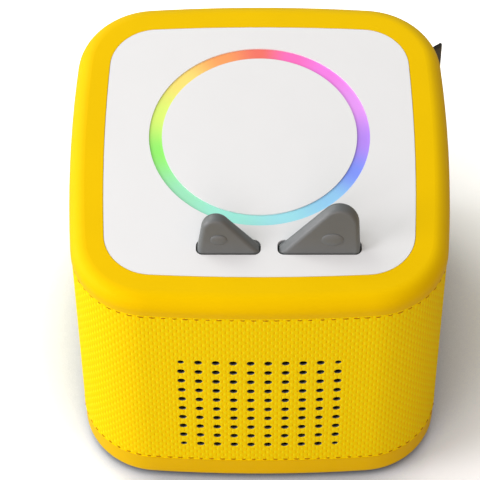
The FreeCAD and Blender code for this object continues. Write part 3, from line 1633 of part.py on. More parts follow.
def make_all():
    """Every sub-part, each an object of its own whose label names its file."""
    outside = [make_top_frame(), make_top_panel(), make_figure_disc(), make_ring_diffuser(),
               *make_ears(), make_fabric_sleeve(), make_foam_sleeve(), make_pull_tab(),
               make_base_shell(), make_rubber_feet(), make_battery_door(), make_door_screws()]
    inside = [make_inner_housing(), make_housing_screws(), make_panel_screws(), make_battery_tray(),
              make_battery_cells(), make_battery_contacts(), make_main_board(), make_board_screws(),
              make_rf_shield(), make_main_chips(), make_board_connectors(), make_port_plate(),
              make_headphone_jack(), make_usb_port(), make_led_board(), make_ring_leds(),
              make_tag_antenna(), make_magnet_holder(), make_figure_magnet()]
    levers = [make_ear_carrier(), make_ear_pins(), make_switch_board(), make_volume_switches(),
              *make_plungers(), make_carrier_screws()]
    speaker = [make_speaker_grille(), make_speaker_gasket(), make_speaker_basket(), make_cone_surround(),
               make_speaker_cone(), make_dust_cap(), make_voice_coil(), make_pole_plate(),
               make_speaker_magnet(), make_yoke(), make_spider(), make_speaker_screws()]
    return outside + inside + levers + speaker + make_leads() + [make_radio_antenna()]


def check(pieces):
    """Stop if any object failed or any sub-part's shape is not sound."""
    for item in document.Objects:
        if "Invalid" in item.State or "Error" in item.State:
            raise RuntimeError("%s failed: %s" % (item.Label, item.State))
    for piece in pieces:
        if piece.Shape.isNull() or not piece.Shape.isValid() or piece.Shape.Volume <= 0:
            raise RuntimeError("%s has no sound shape" % piece.Label)


def write(pieces):
    os.makedirs("parts", exist_ok=True)
    for piece in pieces:
        piece.Shape.exportStep("parts/%s.step" % piece.Label)
        print("%s: %d solid(s), %.1f mm3" % (piece.Label, len(piece.Shape.Solids), piece.Shape.Volume))


sub_parts = make_all()
document.recompute()
check(sub_parts)
write(sub_parts)
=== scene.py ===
import math
import random

import bpy
import numpy as np
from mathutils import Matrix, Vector


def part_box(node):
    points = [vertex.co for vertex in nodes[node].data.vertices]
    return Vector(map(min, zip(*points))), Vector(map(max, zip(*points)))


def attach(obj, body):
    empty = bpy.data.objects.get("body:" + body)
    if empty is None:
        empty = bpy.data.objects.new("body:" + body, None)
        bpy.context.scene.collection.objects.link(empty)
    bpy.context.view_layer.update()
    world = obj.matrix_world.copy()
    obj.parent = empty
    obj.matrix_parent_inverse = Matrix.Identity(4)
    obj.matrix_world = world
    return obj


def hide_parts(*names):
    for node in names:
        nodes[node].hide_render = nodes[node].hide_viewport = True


# The audio story player.  The CAD nodes keep their shapes and get their finishes here.
# The fabric sleeve, its foam and the pull tab are made here as cloth, padding and ribbon.
# The scene is in metres, +Z is up and the loudspeaker side faces -Y.
# Lengths of the outline, the cloth, the foam and the ribbon are written in millimetres.

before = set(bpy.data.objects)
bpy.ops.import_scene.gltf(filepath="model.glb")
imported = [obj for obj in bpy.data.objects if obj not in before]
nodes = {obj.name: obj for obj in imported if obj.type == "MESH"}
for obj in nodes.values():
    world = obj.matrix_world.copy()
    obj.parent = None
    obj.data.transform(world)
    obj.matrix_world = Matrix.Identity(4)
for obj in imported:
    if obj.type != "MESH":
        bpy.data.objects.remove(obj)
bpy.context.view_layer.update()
MM = 0.001


# ---------------------------------------------------------------- camera, lights, floor

PICTURE = 480
FOCAL_PIXELS = 2807.656
SENSOR = 36.0
LOOK_DOWN = 55.176
EYE = (0.0, -529.59 * MM, 815.60 * MM)
MIDDLE_COLUMN = 259.5
SKY_STRENGTH = 0.50
SKY_COOL = (0.96, 1.0, 1.0, 1.0)
SKY_WARM = (0.98, 0.54, 0.18, 1.0)
WARM_SIDE = (0.77, -0.62, -0.15)
WARM_FROM = 0.1
FLOOR_REACH = 6.0
FLOOR_BOUNCE = (0.47, 0.43, 0.33, 1)
SHADOW_REACH = 0.22
SHADOW_POWERS = (1.94, 1.70, 1.40)
LAMPS_AIM = (0, 0, 0.05)
# Each lamp's name, place, width, power and colour.
LAMPS = [
    ("left", (-1.3, -0.4, 0.7), 0.8, 10.5, (1.0, 0.94, 0.96)),
    ("left_back", (-1.35, 0.4, 0.4), 0.8, 5.0, (1.0, 0.95, 0.98)),
    ("back_left", (-0.8, 0.9, 1.1), 0.8, 5.4, (1.0, 1.0, 0.92)),
    ("front_left", (-0.8, -1.2, 0.8), 0.8, 3.9, (1.0, 0.95, 0.98)),
    ("front", (0.0, -1.5, 0.7), 0.8, 4.2, (1.0, 0.86, 0.88)),
    ("high_left", (-0.75, 0.15, 1.30), 0.35, 1.8, (1.0, 1.0, 1.0)),
]


def make_camera():
    camera = bpy.data.objects.new("camera", bpy.data.cameras.new("camera"))
    bpy.context.collection.objects.link(camera)
    camera.data.sensor_width = SENSOR
    camera.data.lens = FOCAL_PIXELS / PICTURE * SENSOR
    camera.data.shift_x = (PICTURE / 2 - MIDDLE_COLUMN) / PICTURE
    camera.data.clip_start = 0.05
    camera.data.clip_end = 50
    camera.location = EYE
    camera.rotation_euler = (math.radians(90 - LOOK_DOWN), 0, 0)
    bpy.context.scene.camera = camera


def area_light(name, place, size, power, colour):
    """A round soft lamp that points at the object."""
    light = bpy.data.lights.new(name, "AREA")
    light.color = colour
    light.shape = "DISK"
    light.size = size
    light.energy = power
    lamp = bpy.data.objects.new(name, light)
    bpy.context.collection.objects.link(lamp)
    lamp.location = place
    lamp.rotation_euler = (Vector(LAMPS_AIM) - Vector(place)).to_track_quat("-Z", "Y").to_euler()


def make_world():
    """A dim sky, warmer towards the front right, and plain white where the camera looks past the floor."""
    world = bpy.data.worlds.new("studio")
    bpy.context.scene.world = world
    world.use_nodes = True
    tree = world.node_tree
    tree.nodes.clear()
    sky = tree.nodes.new("ShaderNodeBackground")
    sky.inputs["Strength"].default_value = SKY_STRENGTH
    direction = tree.nodes.new("ShaderNodeTexCoord")
    side = tree.nodes.new("ShaderNodeVectorMath")
    side.operation = "DOT_PRODUCT"
    side.inputs[1].default_value = WARM_SIDE
    tint = tree.nodes.new("ShaderNodeValToRGB")
    tint.color_ramp.elements[0].position = WARM_FROM
    tint.color_ramp.elements[0].color = SKY_COOL
    tint.color_ramp.elements[1].color = SKY_WARM
    tree.links.new(direction.outputs["Generated"], side.inputs[0])
    tree.links.new(side.outputs["Value"], tint.inputs[0])
    tree.links.new(tint.outputs[0], sky.inputs["Color"])
    seen = tree.nodes.new("ShaderNodeBackground")
    seen.inputs["Strength"].default_value = 1.0
    path = tree.nodes.new("ShaderNodeLightPath")
    mix = tree.nodes.new("ShaderNodeMixShader")
    out = tree.nodes.new("ShaderNodeOutputWorld")
    tree.links.new(path.outputs["Is Camera Ray"], mix.inputs[0])
    tree.links.new(sky.outputs[0], mix.inputs[1])
    tree.links.new(seen.outputs[0], mix.inputs[2])
    tree.links.new(mix.outputs[0], out.inputs[0])


def make_floor():
    """A floor that the camera sees as white, with a soft painted shadow near the object from ambient
    occlusion.
    """
    reach = FLOOR_REACH
    mesh = bpy.data.meshes.new("floor")
    mesh.from_pydata([(-reach, -reach, 0), (reach, -reach, 0), (reach, reach, 0), (-reach, reach, 0)],
                     [], [(0, 1, 2, 3)])
    floor = bpy.data.objects.new("floor", mesh)
    bpy.context.collection.objects.link(floor)
    material = bpy.data.materials.new("floor")
    material.use_nodes = True
    tree = material.node_tree
    tree.nodes.clear()
    plain = tree.nodes.new("ShaderNodeBsdfDiffuse")
    plain.inputs["Color"].default_value = FLOOR_BOUNCE
    # Ambient occlusion darkens the colour the camera sees near the object: a painted shadow, on top of the
    # lamps' own shading.
    nearness = tree.nodes.new("ShaderNodeAmbientOcclusion")
    nearness.inputs["Distance"].default_value = SHADOW_REACH
    nearness.samples = 16
    painted_shadow = tree.nodes.new("ShaderNodeCombineXYZ")
    for channel, power in enumerate(SHADOW_POWERS):
        raised = tree.nodes.new("ShaderNodeMath")
        raised.operation = "POWER"
        raised.inputs[1].default_value = power
        tree.links.new(nearness.outputs["AO"], raised.inputs[0])
        tree.links.new(raised.outputs[0], painted_shadow.inputs[channel])
    both = tree.nodes.new("ShaderNodeAddShader")
    for socket in (0, 1):
        shown = tree.nodes.new("ShaderNodeBsdfDiffuse")
        tree.links.new(painted_shadow.outputs[0], shown.inputs["Color"])
        tree.links.new(shown.outputs[0], both.inputs[socket])
    path = tree.nodes.new("ShaderNodeLightPath")
    mix = tree.nodes.new("ShaderNodeMixShader")
    out = tree.nodes.new("ShaderNodeOutputMaterial")
    tree.links.new(path.outputs["Is Camera Ray"], mix.inputs[0])
    tree.links.new(plain.outputs[0], mix.inputs[1])
    tree.links.new(both.outputs[0], mix.inputs[2])
    tree.links.new(mix.outputs[0], out.inputs[0])
    mesh.materials.append(material)


make_camera()
make_world()
make_floor()
for lamp in LAMPS:
    area_light(*lamp)
bpy.context.scene.view_settings.view_transform = "Standard"


# ---------------------------------------------------------------- the cube's outline

BODY_HALF = 60.0
SIDE_BULGE = 480.0
CORNER_ROUND = 25.0


class Outline:
    """A square with gently bowed sides and round corners, moved inwards by an inset (mm).

    Arc lengths start at the middle of the front and run towards +X."""

    def __init__(self, inset):
        setback = BODY_HALF - SIDE_BULGE
        spread = SIDE_BULGE - CORNER_ROUND
        middle = (setback + math.sqrt(2 * spread ** 2 - setback ** 2)) / 2
        turn = math.atan2(middle, middle - setback)
        self.arcs = []
        self.length = 0.0
        for quarter in range(4):
            heading = quarter * math.pi / 2 - math.pi / 2
            side = (setback * math.cos(heading), setback * math.sin(heading))
            corner_heading = heading + math.pi / 4
            reach = middle * math.sqrt(2)
            corner = (reach * math.cos(corner_heading), reach * math.sin(corner_heading))
            self.add(side, SIDE_BULGE - inset, heading if quarter == 0 else heading - turn, heading + turn)
            self.add(corner, CORNER_ROUND - inset, heading + turn, heading + math.pi / 2 - turn)
        heading = -math.pi / 2 + 2 * math.pi
        self.add((0.0, -setback), SIDE_BULGE - inset, heading - turn, heading)

    def add(self, middle, radius, start, finish):
        self.arcs.append((self.length, middle, radius, start))
        self.length += radius * (finish - start)

    def at(self, along):
        """The point at an arc length, and the outward direction there."""
        along = along % self.length
        begin, middle, radius, start = [arc for arc in self.arcs if arc[0] <= along + 1e-12][-1]
        angle = start + (along - begin) / radius
        out = (math.cos(angle), math.sin(angle))
        return (middle[0] + radius * out[0], middle[1] + radius * out[1]), out


SLEEVE_INSET = 0.25
outline = Outline(SLEEVE_INSET)


# ---------------------------------------------------------------- material helpers

def linear(red, green, blue):
    """A colour given in 0..255 picture values, as the linear colour a shader wants."""
    def one(value):
        value = value / 255
        return value / 12.92 if value <= 0.04045 else ((value + 0.055) / 1.055) ** 2.4
    return (one(red), one(green), one(blue), 1.0)


def shade(colour, share):
    """The colour, lighter or darker by a factor."""
    return tuple(part * share for part in colour[:3]) + (1.0,)


class Finish:
    """A node material with one Principled shader and small helpers to wire it."""

    def __init__(self, name, roughness=0.5, metallic=0.0, **sockets):
        self.material = bpy.data.materials.new(name)
        self.material.use_nodes = True
        self.tree = self.material.node_tree
        self.shader = self.tree.nodes["Principled BSDF"]
        self.shader.inputs["Roughness"].default_value = roughness
        self.shader.inputs["Metallic"].default_value = metallic
        for socket, value in sockets.items():
            self.shader.inputs[socket.replace("_", " ")].default_value = value
        self.place = self.node("ShaderNodeTexCoord").outputs["Object"]

    def node(self, kind, **settings):
        made = self.tree.nodes.new(kind)
        for name, value in settings.items():
            setattr(made, name, value)
        return made

    def link(self, source, target):
        self.tree.links.new(source, target)

    def math(self, operation, *values):
        made = self.node("ShaderNodeMath", operation=operation)
        for socket, value in zip(made.inputs, values):
            if isinstance(value, (int, float)):
                socket.default_value = value
            else:
                self.link(value, socket)
        return made.outputs[0]

    def noise(self, scale, detail=2.0, place=None, stretch=None):
        made = self.node("ShaderNodeTexNoise")
        made.inputs["Scale"].default_value = scale
        made.inputs["Detail"].default_value = detail
        source = place or self.place
        if stretch:
            mapping = self.node("ShaderNodeMapping")
            mapping.inputs["Scale"].default_value = stretch
            self.link(source, mapping.inputs["Vector"])
            source = mapping.outputs[0]
        self.link(source, made.inputs["Vector"])
        return made.outputs["Fac"]

    def ramp(self, source, stops, interpolation="LINEAR"):
        made = self.node("ShaderNodeValToRGB")
        made.color_ramp.interpolation = interpolation
        points = made.color_ramp.elements
        while len(points) < len(stops):
            points.new(0.5)
        for point, (position, colour) in zip(points, stops):
            point.position = position
            point.color = colour if len(colour) == 4 else (*colour, 1)
        self.link(source, made.inputs[0])
        return made.outputs[0]

    def grey_ramp(self, source, stops, interpolation="LINEAR"):
        return self.ramp(source, [(at, (value, value, value)) for at, value in stops], interpolation)

    def colour(self, source):
        self.link(source, self.shader.inputs["Base Color"])

    def rough(self, source):
        self.link(source, self.shader.inputs["Roughness"])

    def bump(self, height, distance, strength=1.0):
        made = self.node("ShaderNodeBump")
        made.inputs["Strength"].default_value = strength
        made.inputs["Distance"].default_value = distance
        self.link(height, made.inputs["Height"])
        self.link(made.outputs[0], self.shader.inputs["Normal"])

    def mottled(self, colour, change=0.04, scale=60.0):
        """The colour with a faint cloudy variation, as moulded plastic has."""
        self.colour(self.ramp(self.noise(scale, 3.0),
                              [(0.3, shade(colour, 1 - change)), (0.7, shade(colour, 1 + change))]))
        return self

    def grain(self, scale, distance, rough_low, rough_high):
        """A fine moulded grain in the surface and in its gloss."""
        speck = self.noise(scale, 2.0)
        self.bump(speck, distance)
        self.rough(self.grey_ramp(self.noise(scale / 12, 3.0), [(0.3, rough_low), (0.7, rough_high)]))
        return self


def plastic(name, colour, rough_low, rough_high, grain_scale=2600.0, depth=0.00002, change=0.03, **sockets):
    return Finish(name, rough_low, **sockets).mottled(colour, change).grain(
        grain_scale, depth, rough_low, rough_high).material


def metal(name, colour, rough_low, rough_high, streak=(1, 1, 1), scale=900.0, depth=0.000004):
    made = Finish(name, rough_low, 1.0).mottled(colour, 0.06, 120.0)
    fine = made.noise(scale, 3.0, stretch=streak)
    made.bump(fine, depth)
    made.rough(made.grey_ramp(fine, [(0.3, rough_low), (0.7, rough_high)]))
    return made.material


# ---------------------------------------------------------------- materials

YELLOW = linear(241, 198, 0)
YELLOW_SHINE = (1.0, 0.74, 0.04, 1.0)
WEAVE_REPEATS = 170
WEAVE_TALL = 3.788
WEAVE_DEPTH = 0.22
WEAVE_WOBBLE = 0.22
FIBRE_SCALE = 5200.0
FIBRE_HEIGHT, FIBRE_TONE = 0.14, 0.3
WEAVE_PROFILE = [(0.0, 0.52), (0.12, 0.60), (0.25, 0.40), (0.345, 0.0), (0.43, 0.70),
                 (0.53, 1.0), (0.70, 0.72), (0.86, 0.46), (1.0, 0.52)]
RIB_PITCH = 0.55
SELVEDGE_FOOT = 90.7
RING_GLOW = 0.12
RING_HUES = [(0.00, (236, 112, 98)), (0.06, (242, 158, 92)), (0.13, (244, 220, 112)),
             (0.21, (212, 240, 110)), (0.28, (142, 234, 104)), (0.37, (150, 224, 184)),
             (0.46, (158, 236, 222)), (0.54, (156, 224, 236)), (0.62, (146, 204, 244)),
             (0.68, (124, 146, 248)), (0.74, (178, 134, 242)), (0.81, (226, 150, 244)),
             (0.89, (238, 124, 226)), (0.95, (246, 108, 190)), (1.00, (236, 112, 98))]


def ring_material():
    """Frosted plastic that glows weakly in a fixed rainbow."""
    made = Finish("ring_diffuser", 0.35)
    shifted = made.node("ShaderNodeVectorMath", operation="SUBTRACT")
    low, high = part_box("ring_diffuser")
    shifted.inputs[1].default_value = tuple((a + b) / 2 for a, b in zip(low, high))
    made.link(made.place, shifted.inputs[0])
    around = made.node("ShaderNodeTexGradient", gradient_type="RADIAL")
    turned = made.node("ShaderNodeMapping")
    turned.inputs["Rotation"].default_value = (0, 0, math.radians(90))
    made.link(shifted.outputs[0], turned.inputs["Vector"])
    made.link(turned.outputs[0], around.inputs["Vector"])
    colours = made.ramp(around.outputs["Fac"], [(at, linear(*hue)) for at, hue in RING_HUES], "EASE")
    made.colour(colours)
    made.link(colours, made.shader.inputs["Emission Color"])
    made.shader.inputs["Emission Strength"].default_value = RING_GLOW
    made.bump(made.noise(1800.0, 2.0), 0.00001)
    return made.material


def fabric_material(weave_wide):
    """Coarse woven polyester: staggered raised floats with a slit beside each; the slits carry painted
    shade and the floats' tops a painted highlight.
    """
    made = Finish("yellow_fabric", 0.75, Specular_IOR_Level=0.2, Specular_Tint=YELLOW_SHINE,
                  Sheen_Weight=0.25, Sheen_Roughness=0.5, Sheen_Tint=(1.0, 0.62, 0.0, 1.0))
    spot = made.node("ShaderNodeAttribute", attribute_name="cloth_place")
    parts = made.node("ShaderNodeSeparateXYZ")
    wobble = made.node("ShaderNodeTexNoise")
    wobble.inputs["Scale"].default_value = 260.0
    made.link(spot.outputs["Vector"], wobble.inputs["Vector"])
    centred = made.node("ShaderNodeVectorMath", operation="SUBTRACT")
    centred.inputs[1].default_value = (0.5, 0.5, 0.5)
    made.link(wobble.outputs["Color"], centred.inputs[0])
    scaled = made.node("ShaderNodeVectorMath", operation="SCALE")
    scaled.inputs["Scale"].default_value = WEAVE_WOBBLE * MM
    made.link(centred.outputs[0], scaled.inputs[0])
    moved = made.node("ShaderNodeVectorMath", operation="ADD")
    made.link(spot.outputs["Vector"], moved.inputs[0])
    made.link(scaled.outputs[0], moved.inputs[1])
    made.link(moved.outputs[0], parts.inputs[0])
    row = made.math("DIVIDE", parts.outputs["Y"], WEAVE_TALL / 2 * MM)
    row_number = made.math("FLOOR", row)
    up = made.math("SUBTRACT", made.math("SUBTRACT", row, row_number), 0.5)
    shift = made.math("MULTIPLY", made.math("FLOORED_MODULO", row_number, 2.0), 0.5)
    column = made.math("DIVIDE", parts.outputs["X"], weave_wide)
    across = made.math("FRACT", made.math("ADD", column, shift))
    profile = made.grey_ramp(across, WEAVE_PROFILE, "EASE")
    from_middle = made.math("MULTIPLY", made.math("ABSOLUTE", up), 2.0)
    envelope = made.math("SUBTRACT", 1.0, made.math("POWER", from_middle, 4.0))
    height = made.math("ADD", made.math("MULTIPLY", made.math("SUBTRACT", profile, 0.5), envelope), 0.5)
    fibre = made.noise(FIBRE_SCALE, 3.0, moved.outputs[0], (1.0, 0.35, 1.0))
    rough_height = made.math("ADD", height, made.math("MULTIPLY", fibre, FIBRE_HEIGHT))
    made.bump(rough_height, WEAVE_DEPTH * MM, 0.6)
    speckle = made.math("MULTIPLY", made.math("SUBTRACT", fibre, 0.5), FIBRE_TONE)
    # The colour follows the weave's height: painted shade in the slits and a painted highlight on the
    # floats' tops; the fibre speckle is the cloth's own tone.
    made.colour(made.ramp(made.math("ADD", height, speckle),
                          [(0.0, linear(250, 190, 0)), (0.30, linear(255, 213, 0)),
                           (0.55, linear(255, 224, 0)), (1.0, linear(255, 240, 30))]))
    return made.material


def thread_with_painted_shade_material():
    """Dull golden sewing thread, painted darker amber as painted shade around the stitches."""
    made = Finish("thread", 0.6, Specular_Tint=YELLOW_SHINE)
    # The dark amber stands in for the shade round the stitches: painted shade over the thread's own golden
    # colour.
    made.colour(made.ramp(made.noise(2600.0, 2.0), [(0.3, linear(160, 92, 0)), (0.7, linear(214, 146, 0))]))
    made.bump(made.noise(5200.0, 2.0), 0.00004)
    return made.material


def foam_material():
    """Grey open-celled foam."""
    made = Finish("foam", 0.95)
    cells = made.node("ShaderNodeTexVoronoi")
    cells.inputs["Scale"].default_value = 1400.0
    made.link(made.place, cells.inputs["Vector"])
    made.bump(cells.outputs["Distance"], 0.0002)
    made.colour(made.ramp(cells.outputs["Distance"],
                          [(0.0, linear(70, 70, 72)), (0.5, linear(112, 112, 114))]))
    return made.material


def ribbon_material():
    """A ribbed grosgrain ribbon with a slight shine, painted shade between its ribs and a darker edge at
    its top.
    """
    made = Finish("grey_ribbon", 0.45, Sheen_Weight=0.2)
    parts = made.node("ShaderNodeSeparateXYZ")
    made.link(made.place, parts.inputs[0])
    rib = made.math("SINE", made.math("MULTIPLY", parts.outputs["Z"], 2 * math.pi / (RIB_PITCH * MM)))
    height = made.math("ADD", made.math("MULTIPLY", rib, 0.5), made.noise(4200.0, 2.0))
    made.bump(height, 0.00006)
    selvedge = made.math("GREATER_THAN", parts.outputs["Z"], SELVEDGE_FOOT * MM)
    # The ribs' grooves are painted darker by their height: painted shade; the top band is nearly black.
    painted_rib_shade = made.math("MULTIPLY_ADD", made.math("MAXIMUM", height, 0.0), 0.9, 0.1)
    made.colour(made.ramp(made.math("SUBTRACT", painted_rib_shade, selvedge),
                          [(0.0, linear(5, 5, 6)), (0.1, linear(36, 36, 40)), (1.0, linear(64, 64, 69))]))
    return made.material


def board_material():
    """A green circuit board."""
    made = Finish("circuit_board", 0.35)
    made.colour(made.ramp(made.noise(420.0, 1.0), [(0.44, linear(14, 62, 40)), (0.5, linear(24, 92, 56)),
                                                  (0.56, linear(14, 62, 40))]))
    made.bump(made.noise(2400.0, 1.0), 0.00001)
    return made.material


MATERIALS = {
    "yellow_soft_touch": plastic("yellow_soft_touch", YELLOW, 0.44, 0.54, 3200.0, 0.000012, 0.015,
                                 Specular_IOR_Level=0.26, Specular_Tint=YELLOW_SHINE),
    "yellow_base": plastic("yellow_base", YELLOW, 0.44, 0.54, 3200.0, 0.000012, 0.015,
                           Specular_IOR_Level=0.26, Specular_Tint=YELLOW_SHINE),
    "white_panel": plastic("white_panel", linear(236, 238, 240), 0.38, 0.46, 3600.0, 0.000006, 0.006),
    "ring_diffuser": ring_material(),
    "ear_grey": plastic("ear_grey", linear(92, 97, 98), 0.44, 0.52, 2600.0, 0.000015, 0.03,
                        Specular_IOR_Level=0.85),
    "foot_rubber": plastic("foot_rubber", linear(52, 52, 54), 0.7, 0.85, 1800.0, 0.00003, 0.05),
    "black_plastic": plastic("black_plastic", linear(28, 28, 30), 0.4, 0.55, 2600.0, 0.00002, 0.06),
    "housing_plastic": plastic("housing_plastic", linear(205, 205, 200), 0.45, 0.6, 1800.0, 0.00002, 0.03),
    "chip_black": plastic("chip_black", linear(32, 32, 34), 0.45, 0.6, 2400.0, 0.00001, 0.05),
    "header_white": plastic("header_white", linear(228, 226, 214), 0.4, 0.5, 2400.0, 0.00001, 0.03),
    "cell_wrap": plastic("cell_wrap", linear(64, 110, 84), 0.25, 0.35, 1200.0, 0.00001, 0.04),
    "led_lens": plastic("led_lens", linear(238, 236, 220), 0.15, 0.25, 1200.0, 0.000005, 0.02),
    "cone_paper": plastic("cone_paper", linear(46, 45, 44), 0.75, 0.9, 1500.0, 0.00005, 0.12),
    "surround_rubber": plastic("surround_rubber", linear(30, 30, 31), 0.5, 0.65, 1800.0, 0.00001, 0.05),
    "spider_cloth": plastic("spider_cloth", linear(186, 140, 78), 0.8, 0.95, 3000.0, 0.00006, 0.08),
    "gasket_foam": foam_material(),
    "lead_pvc": plastic("lead_pvc", linear(150, 30, 28), 0.35, 0.45, 1600.0, 0.00001, 0.04),
    "ferrite": plastic("ferrite", linear(54, 54, 58), 0.55, 0.7, 1600.0, 0.00003, 0.1),
    "yellow_fabric": fabric_material(outline.length / WEAVE_REPEATS * MM),
    "foam": foam_material(),
    "grey_ribbon": ribbon_material(),
    "circuit_board": board_material(),
    "screw_steel": metal("screw_steel", linear(188, 188, 190), 0.25, 0.4),
    "shield_steel": metal("shield_steel", linear(196, 198, 200), 0.28, 0.42, (1, 6, 1)),
    "contact_nickel": metal("contact_nickel", linear(206, 204, 196), 0.2, 0.35),
    "port_metal": metal("port_metal", linear(180, 182, 186), 0.22, 0.36),
    "magnet_steel": metal("magnet_steel", linear(200, 200, 204), 0.15, 0.3),
    "yoke_steel": metal("yoke_steel", linear(170, 172, 176), 0.3, 0.45),
    "basket_steel": metal("basket_steel", linear(96, 98, 102), 0.4, 0.55),
    "copper_coil": metal("copper_coil", linear(200, 116, 66), 0.3, 0.45, (1, 12, 1), 1800.0, 0.00002),
}
THREAD_WITH_PAINTED_SHADE = thread_with_painted_shade_material()
BACKING = plastic("fabric_backing", linear(140, 140, 144), 0.8, 0.9, 2400.0, 0.00005, 0.08)

for node in nodes.values():
    for holder in node.material_slots:
        slot_name = holder.material.name.split(".")[0]
        if slot_name in MATERIALS:
            holder.link = "OBJECT"
            holder.material = MATERIALS[slot_name]


# ---------------------------------------------------------------- mesh helpers

def piece(name, points, faces, material, body_name="root"):
    """A smooth mesh of points in millimetres that rides on a body."""
    mesh = bpy.data.meshes.new(name)
    mesh.from_pydata([tuple(part * MM for part in point) for point in points], [], faces)
    mesh.materials.append(material)
    mesh.polygons.foreach_set("use_smooth", [True] * len(mesh.polygons))
    mesh.update()
    made = bpy.data.objects.new(name, mesh)
    bpy.context.collection.objects.link(made)
    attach(made, body_name)
    return made


def tube(spine, across, radius_wide, radius_tall, sides=8):
    """Points and faces of a closed thread along a spine of (point, normal, share of its thickness)."""
    across = Vector(across)
    points, faces = [], []
    for (x, y, z), out, size in spine:
        out = Vector(out)
        for side in range(sides):
            angle = 2 * math.pi * side / sides
            offset = (across * math.cos(angle) * radius_wide + out * math.sin(angle) * radius_tall) * size
            points.append((x + offset.x, y + offset.y, z + offset.z))
    for ring in range(len(spine) - 1):
        for side in range(sides):
            a = ring * sides + side
            b = ring * sides + (side + 1) % sides
            faces.append((a, b, b + sides, a + sides))
    faces.append(tuple(reversed(range(sides))))
    last = (len(spine) - 1) * sides
    faces.append(tuple(range(last, last + sides)))
    return points, faces


# ---------------------------------------------------------------- the fabric sleeve

CLOTH_THICK = 0.9
SLEEVE_LOW, SLEEVE_HIGH = 12.2, 98.0
HOLE_PITCH = 5.49
HOLE_COUNT = 10
FIELD_MIDDLE = 47.5
HOLE_ROUND, CORNER_HOLE_ROUND = 1.25, 1.0
# Steps into a hole: how far outside its radius, and how deep.
HOLE_EDGE = ((0.45, 0.0), (0.10, 0.02), (0.0, 0.10), (0.0, 0.20), (0.0, CLOTH_THICK))
CELL_STEPS = 4
HEM_LEVELS = [0.0, 0.08, 0.2, 0.35, 0.55, 0.75, 0.95, 1.15, 1.35, 1.6, 1.95]
HEM_BAND = 2.5
HEM_ROUND, HEM_DROP = 0.75, 0.50
RIDGE_IN, RIDGE_WIDE, RIDGE_TALL = 0.7, 0.35, 0.10
STITCH_PITCH = 3.5
STITCH_IN = 1.15
GROOVE_WIDE, GROOVE_DEPTH, GROOVE_PULL = 0.28, 0.10, 0.10
SEAM_ANGLE = 36.4
SEAM_WIDE, SEAM_DEPTH = 0.45, 0.55
LIP_OUT, LIP_WIDE, LIP_TALL = 1.1, 0.6, 0.12
SEAM_BAND, SEAM_STEP = 2.4, 0.3


def seam_place():
    """The arc length at which the sleeve is sewn up, where the pull tab sits."""
    wanted = math.radians(SEAM_ANGLE)
    for begin, middle, radius, start in outline.arcs:
        if radius < 2 * CORNER_ROUND and middle[0] > 0 and middle[1] > 0:
            return begin + (wanted - start) * radius
    raise RuntimeError("the outline has no back right corner")


SEAM = seam_place()


def relief(along, z):
    """How far the cloth's face stands out of its plain surface: hems, stitch grooves, a seam (mm)."""
    out = 0.0
    for edge in (z - SLEEVE_LOW, SLEEVE_HIGH - z):
        if edge < HEM_ROUND:
            out -= HEM_DROP * (1 - edge / HEM_ROUND) ** 2
        out += RIDGE_TALL * math.exp(-((edge - RIDGE_IN) / RIDGE_WIDE) ** 2)
        pull = 0.5 + 0.5 * math.cos(2 * math.pi * along / STITCH_PITCH)
        out -= (GROOVE_DEPTH + GROOVE_PULL * pull) * math.exp(-((edge - STITCH_IN) / GROOVE_WIDE) ** 2)
    gap = abs(along - SEAM)
    out -= SEAM_DEPTH * math.exp(-(gap / SEAM_WIDE) ** 2)
    out += LIP_TALL * math.exp(-((gap - LIP_OUT) / LIP_WIDE) ** 2)
    return out


def cloth_point(along, z, depth):
    """A point of the cloth's face or just behind it, which follows the relief, or of its flat back."""
    (x, y), out = outline.at(along)
    push = -depth if depth > CLOTH_THICK / 2 else relief(along, z) - depth
    return (x + out[0] * push, y + out[1] * push, z)


def steps_between(low, high, size):
    """Even steps of about a size from low up to high, which is left out."""
    count = max(1, round((high - low) / size))
    return [low + (high - low) * n / count for n in range(count)]


def sleeve_columns():
    """Arc lengths of the grid's columns; the perforated field's cells come first."""
    half = HOLE_PITCH * HOLE_COUNT / 2
    step = HOLE_PITCH / CELL_STEPS
    field = [-half + step * n for n in range(HOLE_COUNT * CELL_STEPS)]
    near, far = SEAM - SEAM_BAND, SEAM + SEAM_BAND
    return (field + steps_between(half, near, step) + steps_between(near, far, SEAM_STEP)
            + steps_between(far, outline.length - half, step))


def sleeve_rows():
    """Heights of the grid's rows, close together at the hems, and the perforated field's first row."""
    half = HOLE_PITCH * HOLE_COUNT / 2
    step = HOLE_PITCH / CELL_STEPS
    low, high = FIELD_MIDDLE - half, FIELD_MIDDLE + half
    rows = [SLEEVE_LOW + level for level in HEM_LEVELS]
    rows += steps_between(SLEEVE_LOW + HEM_BAND, low, step)
    first = len(rows)
    rows += [low + step * n for n in range(HOLE_COUNT * CELL_STEPS)]
    rows += steps_between(high, SLEEVE_HIGH - HEM_BAND, step)
    rows += [SLEEVE_HIGH - HEM_BAND] + [SLEEVE_HIGH - level for level in reversed(HEM_LEVELS)]
    return rows, first


def hole_radius(column, row):
    """The radius of a hole, smaller at the field's four corners."""
    ends = (0, HOLE_COUNT - 1)
    return CORNER_HOLE_ROUND if column in ends and row in ends else HOLE_ROUND


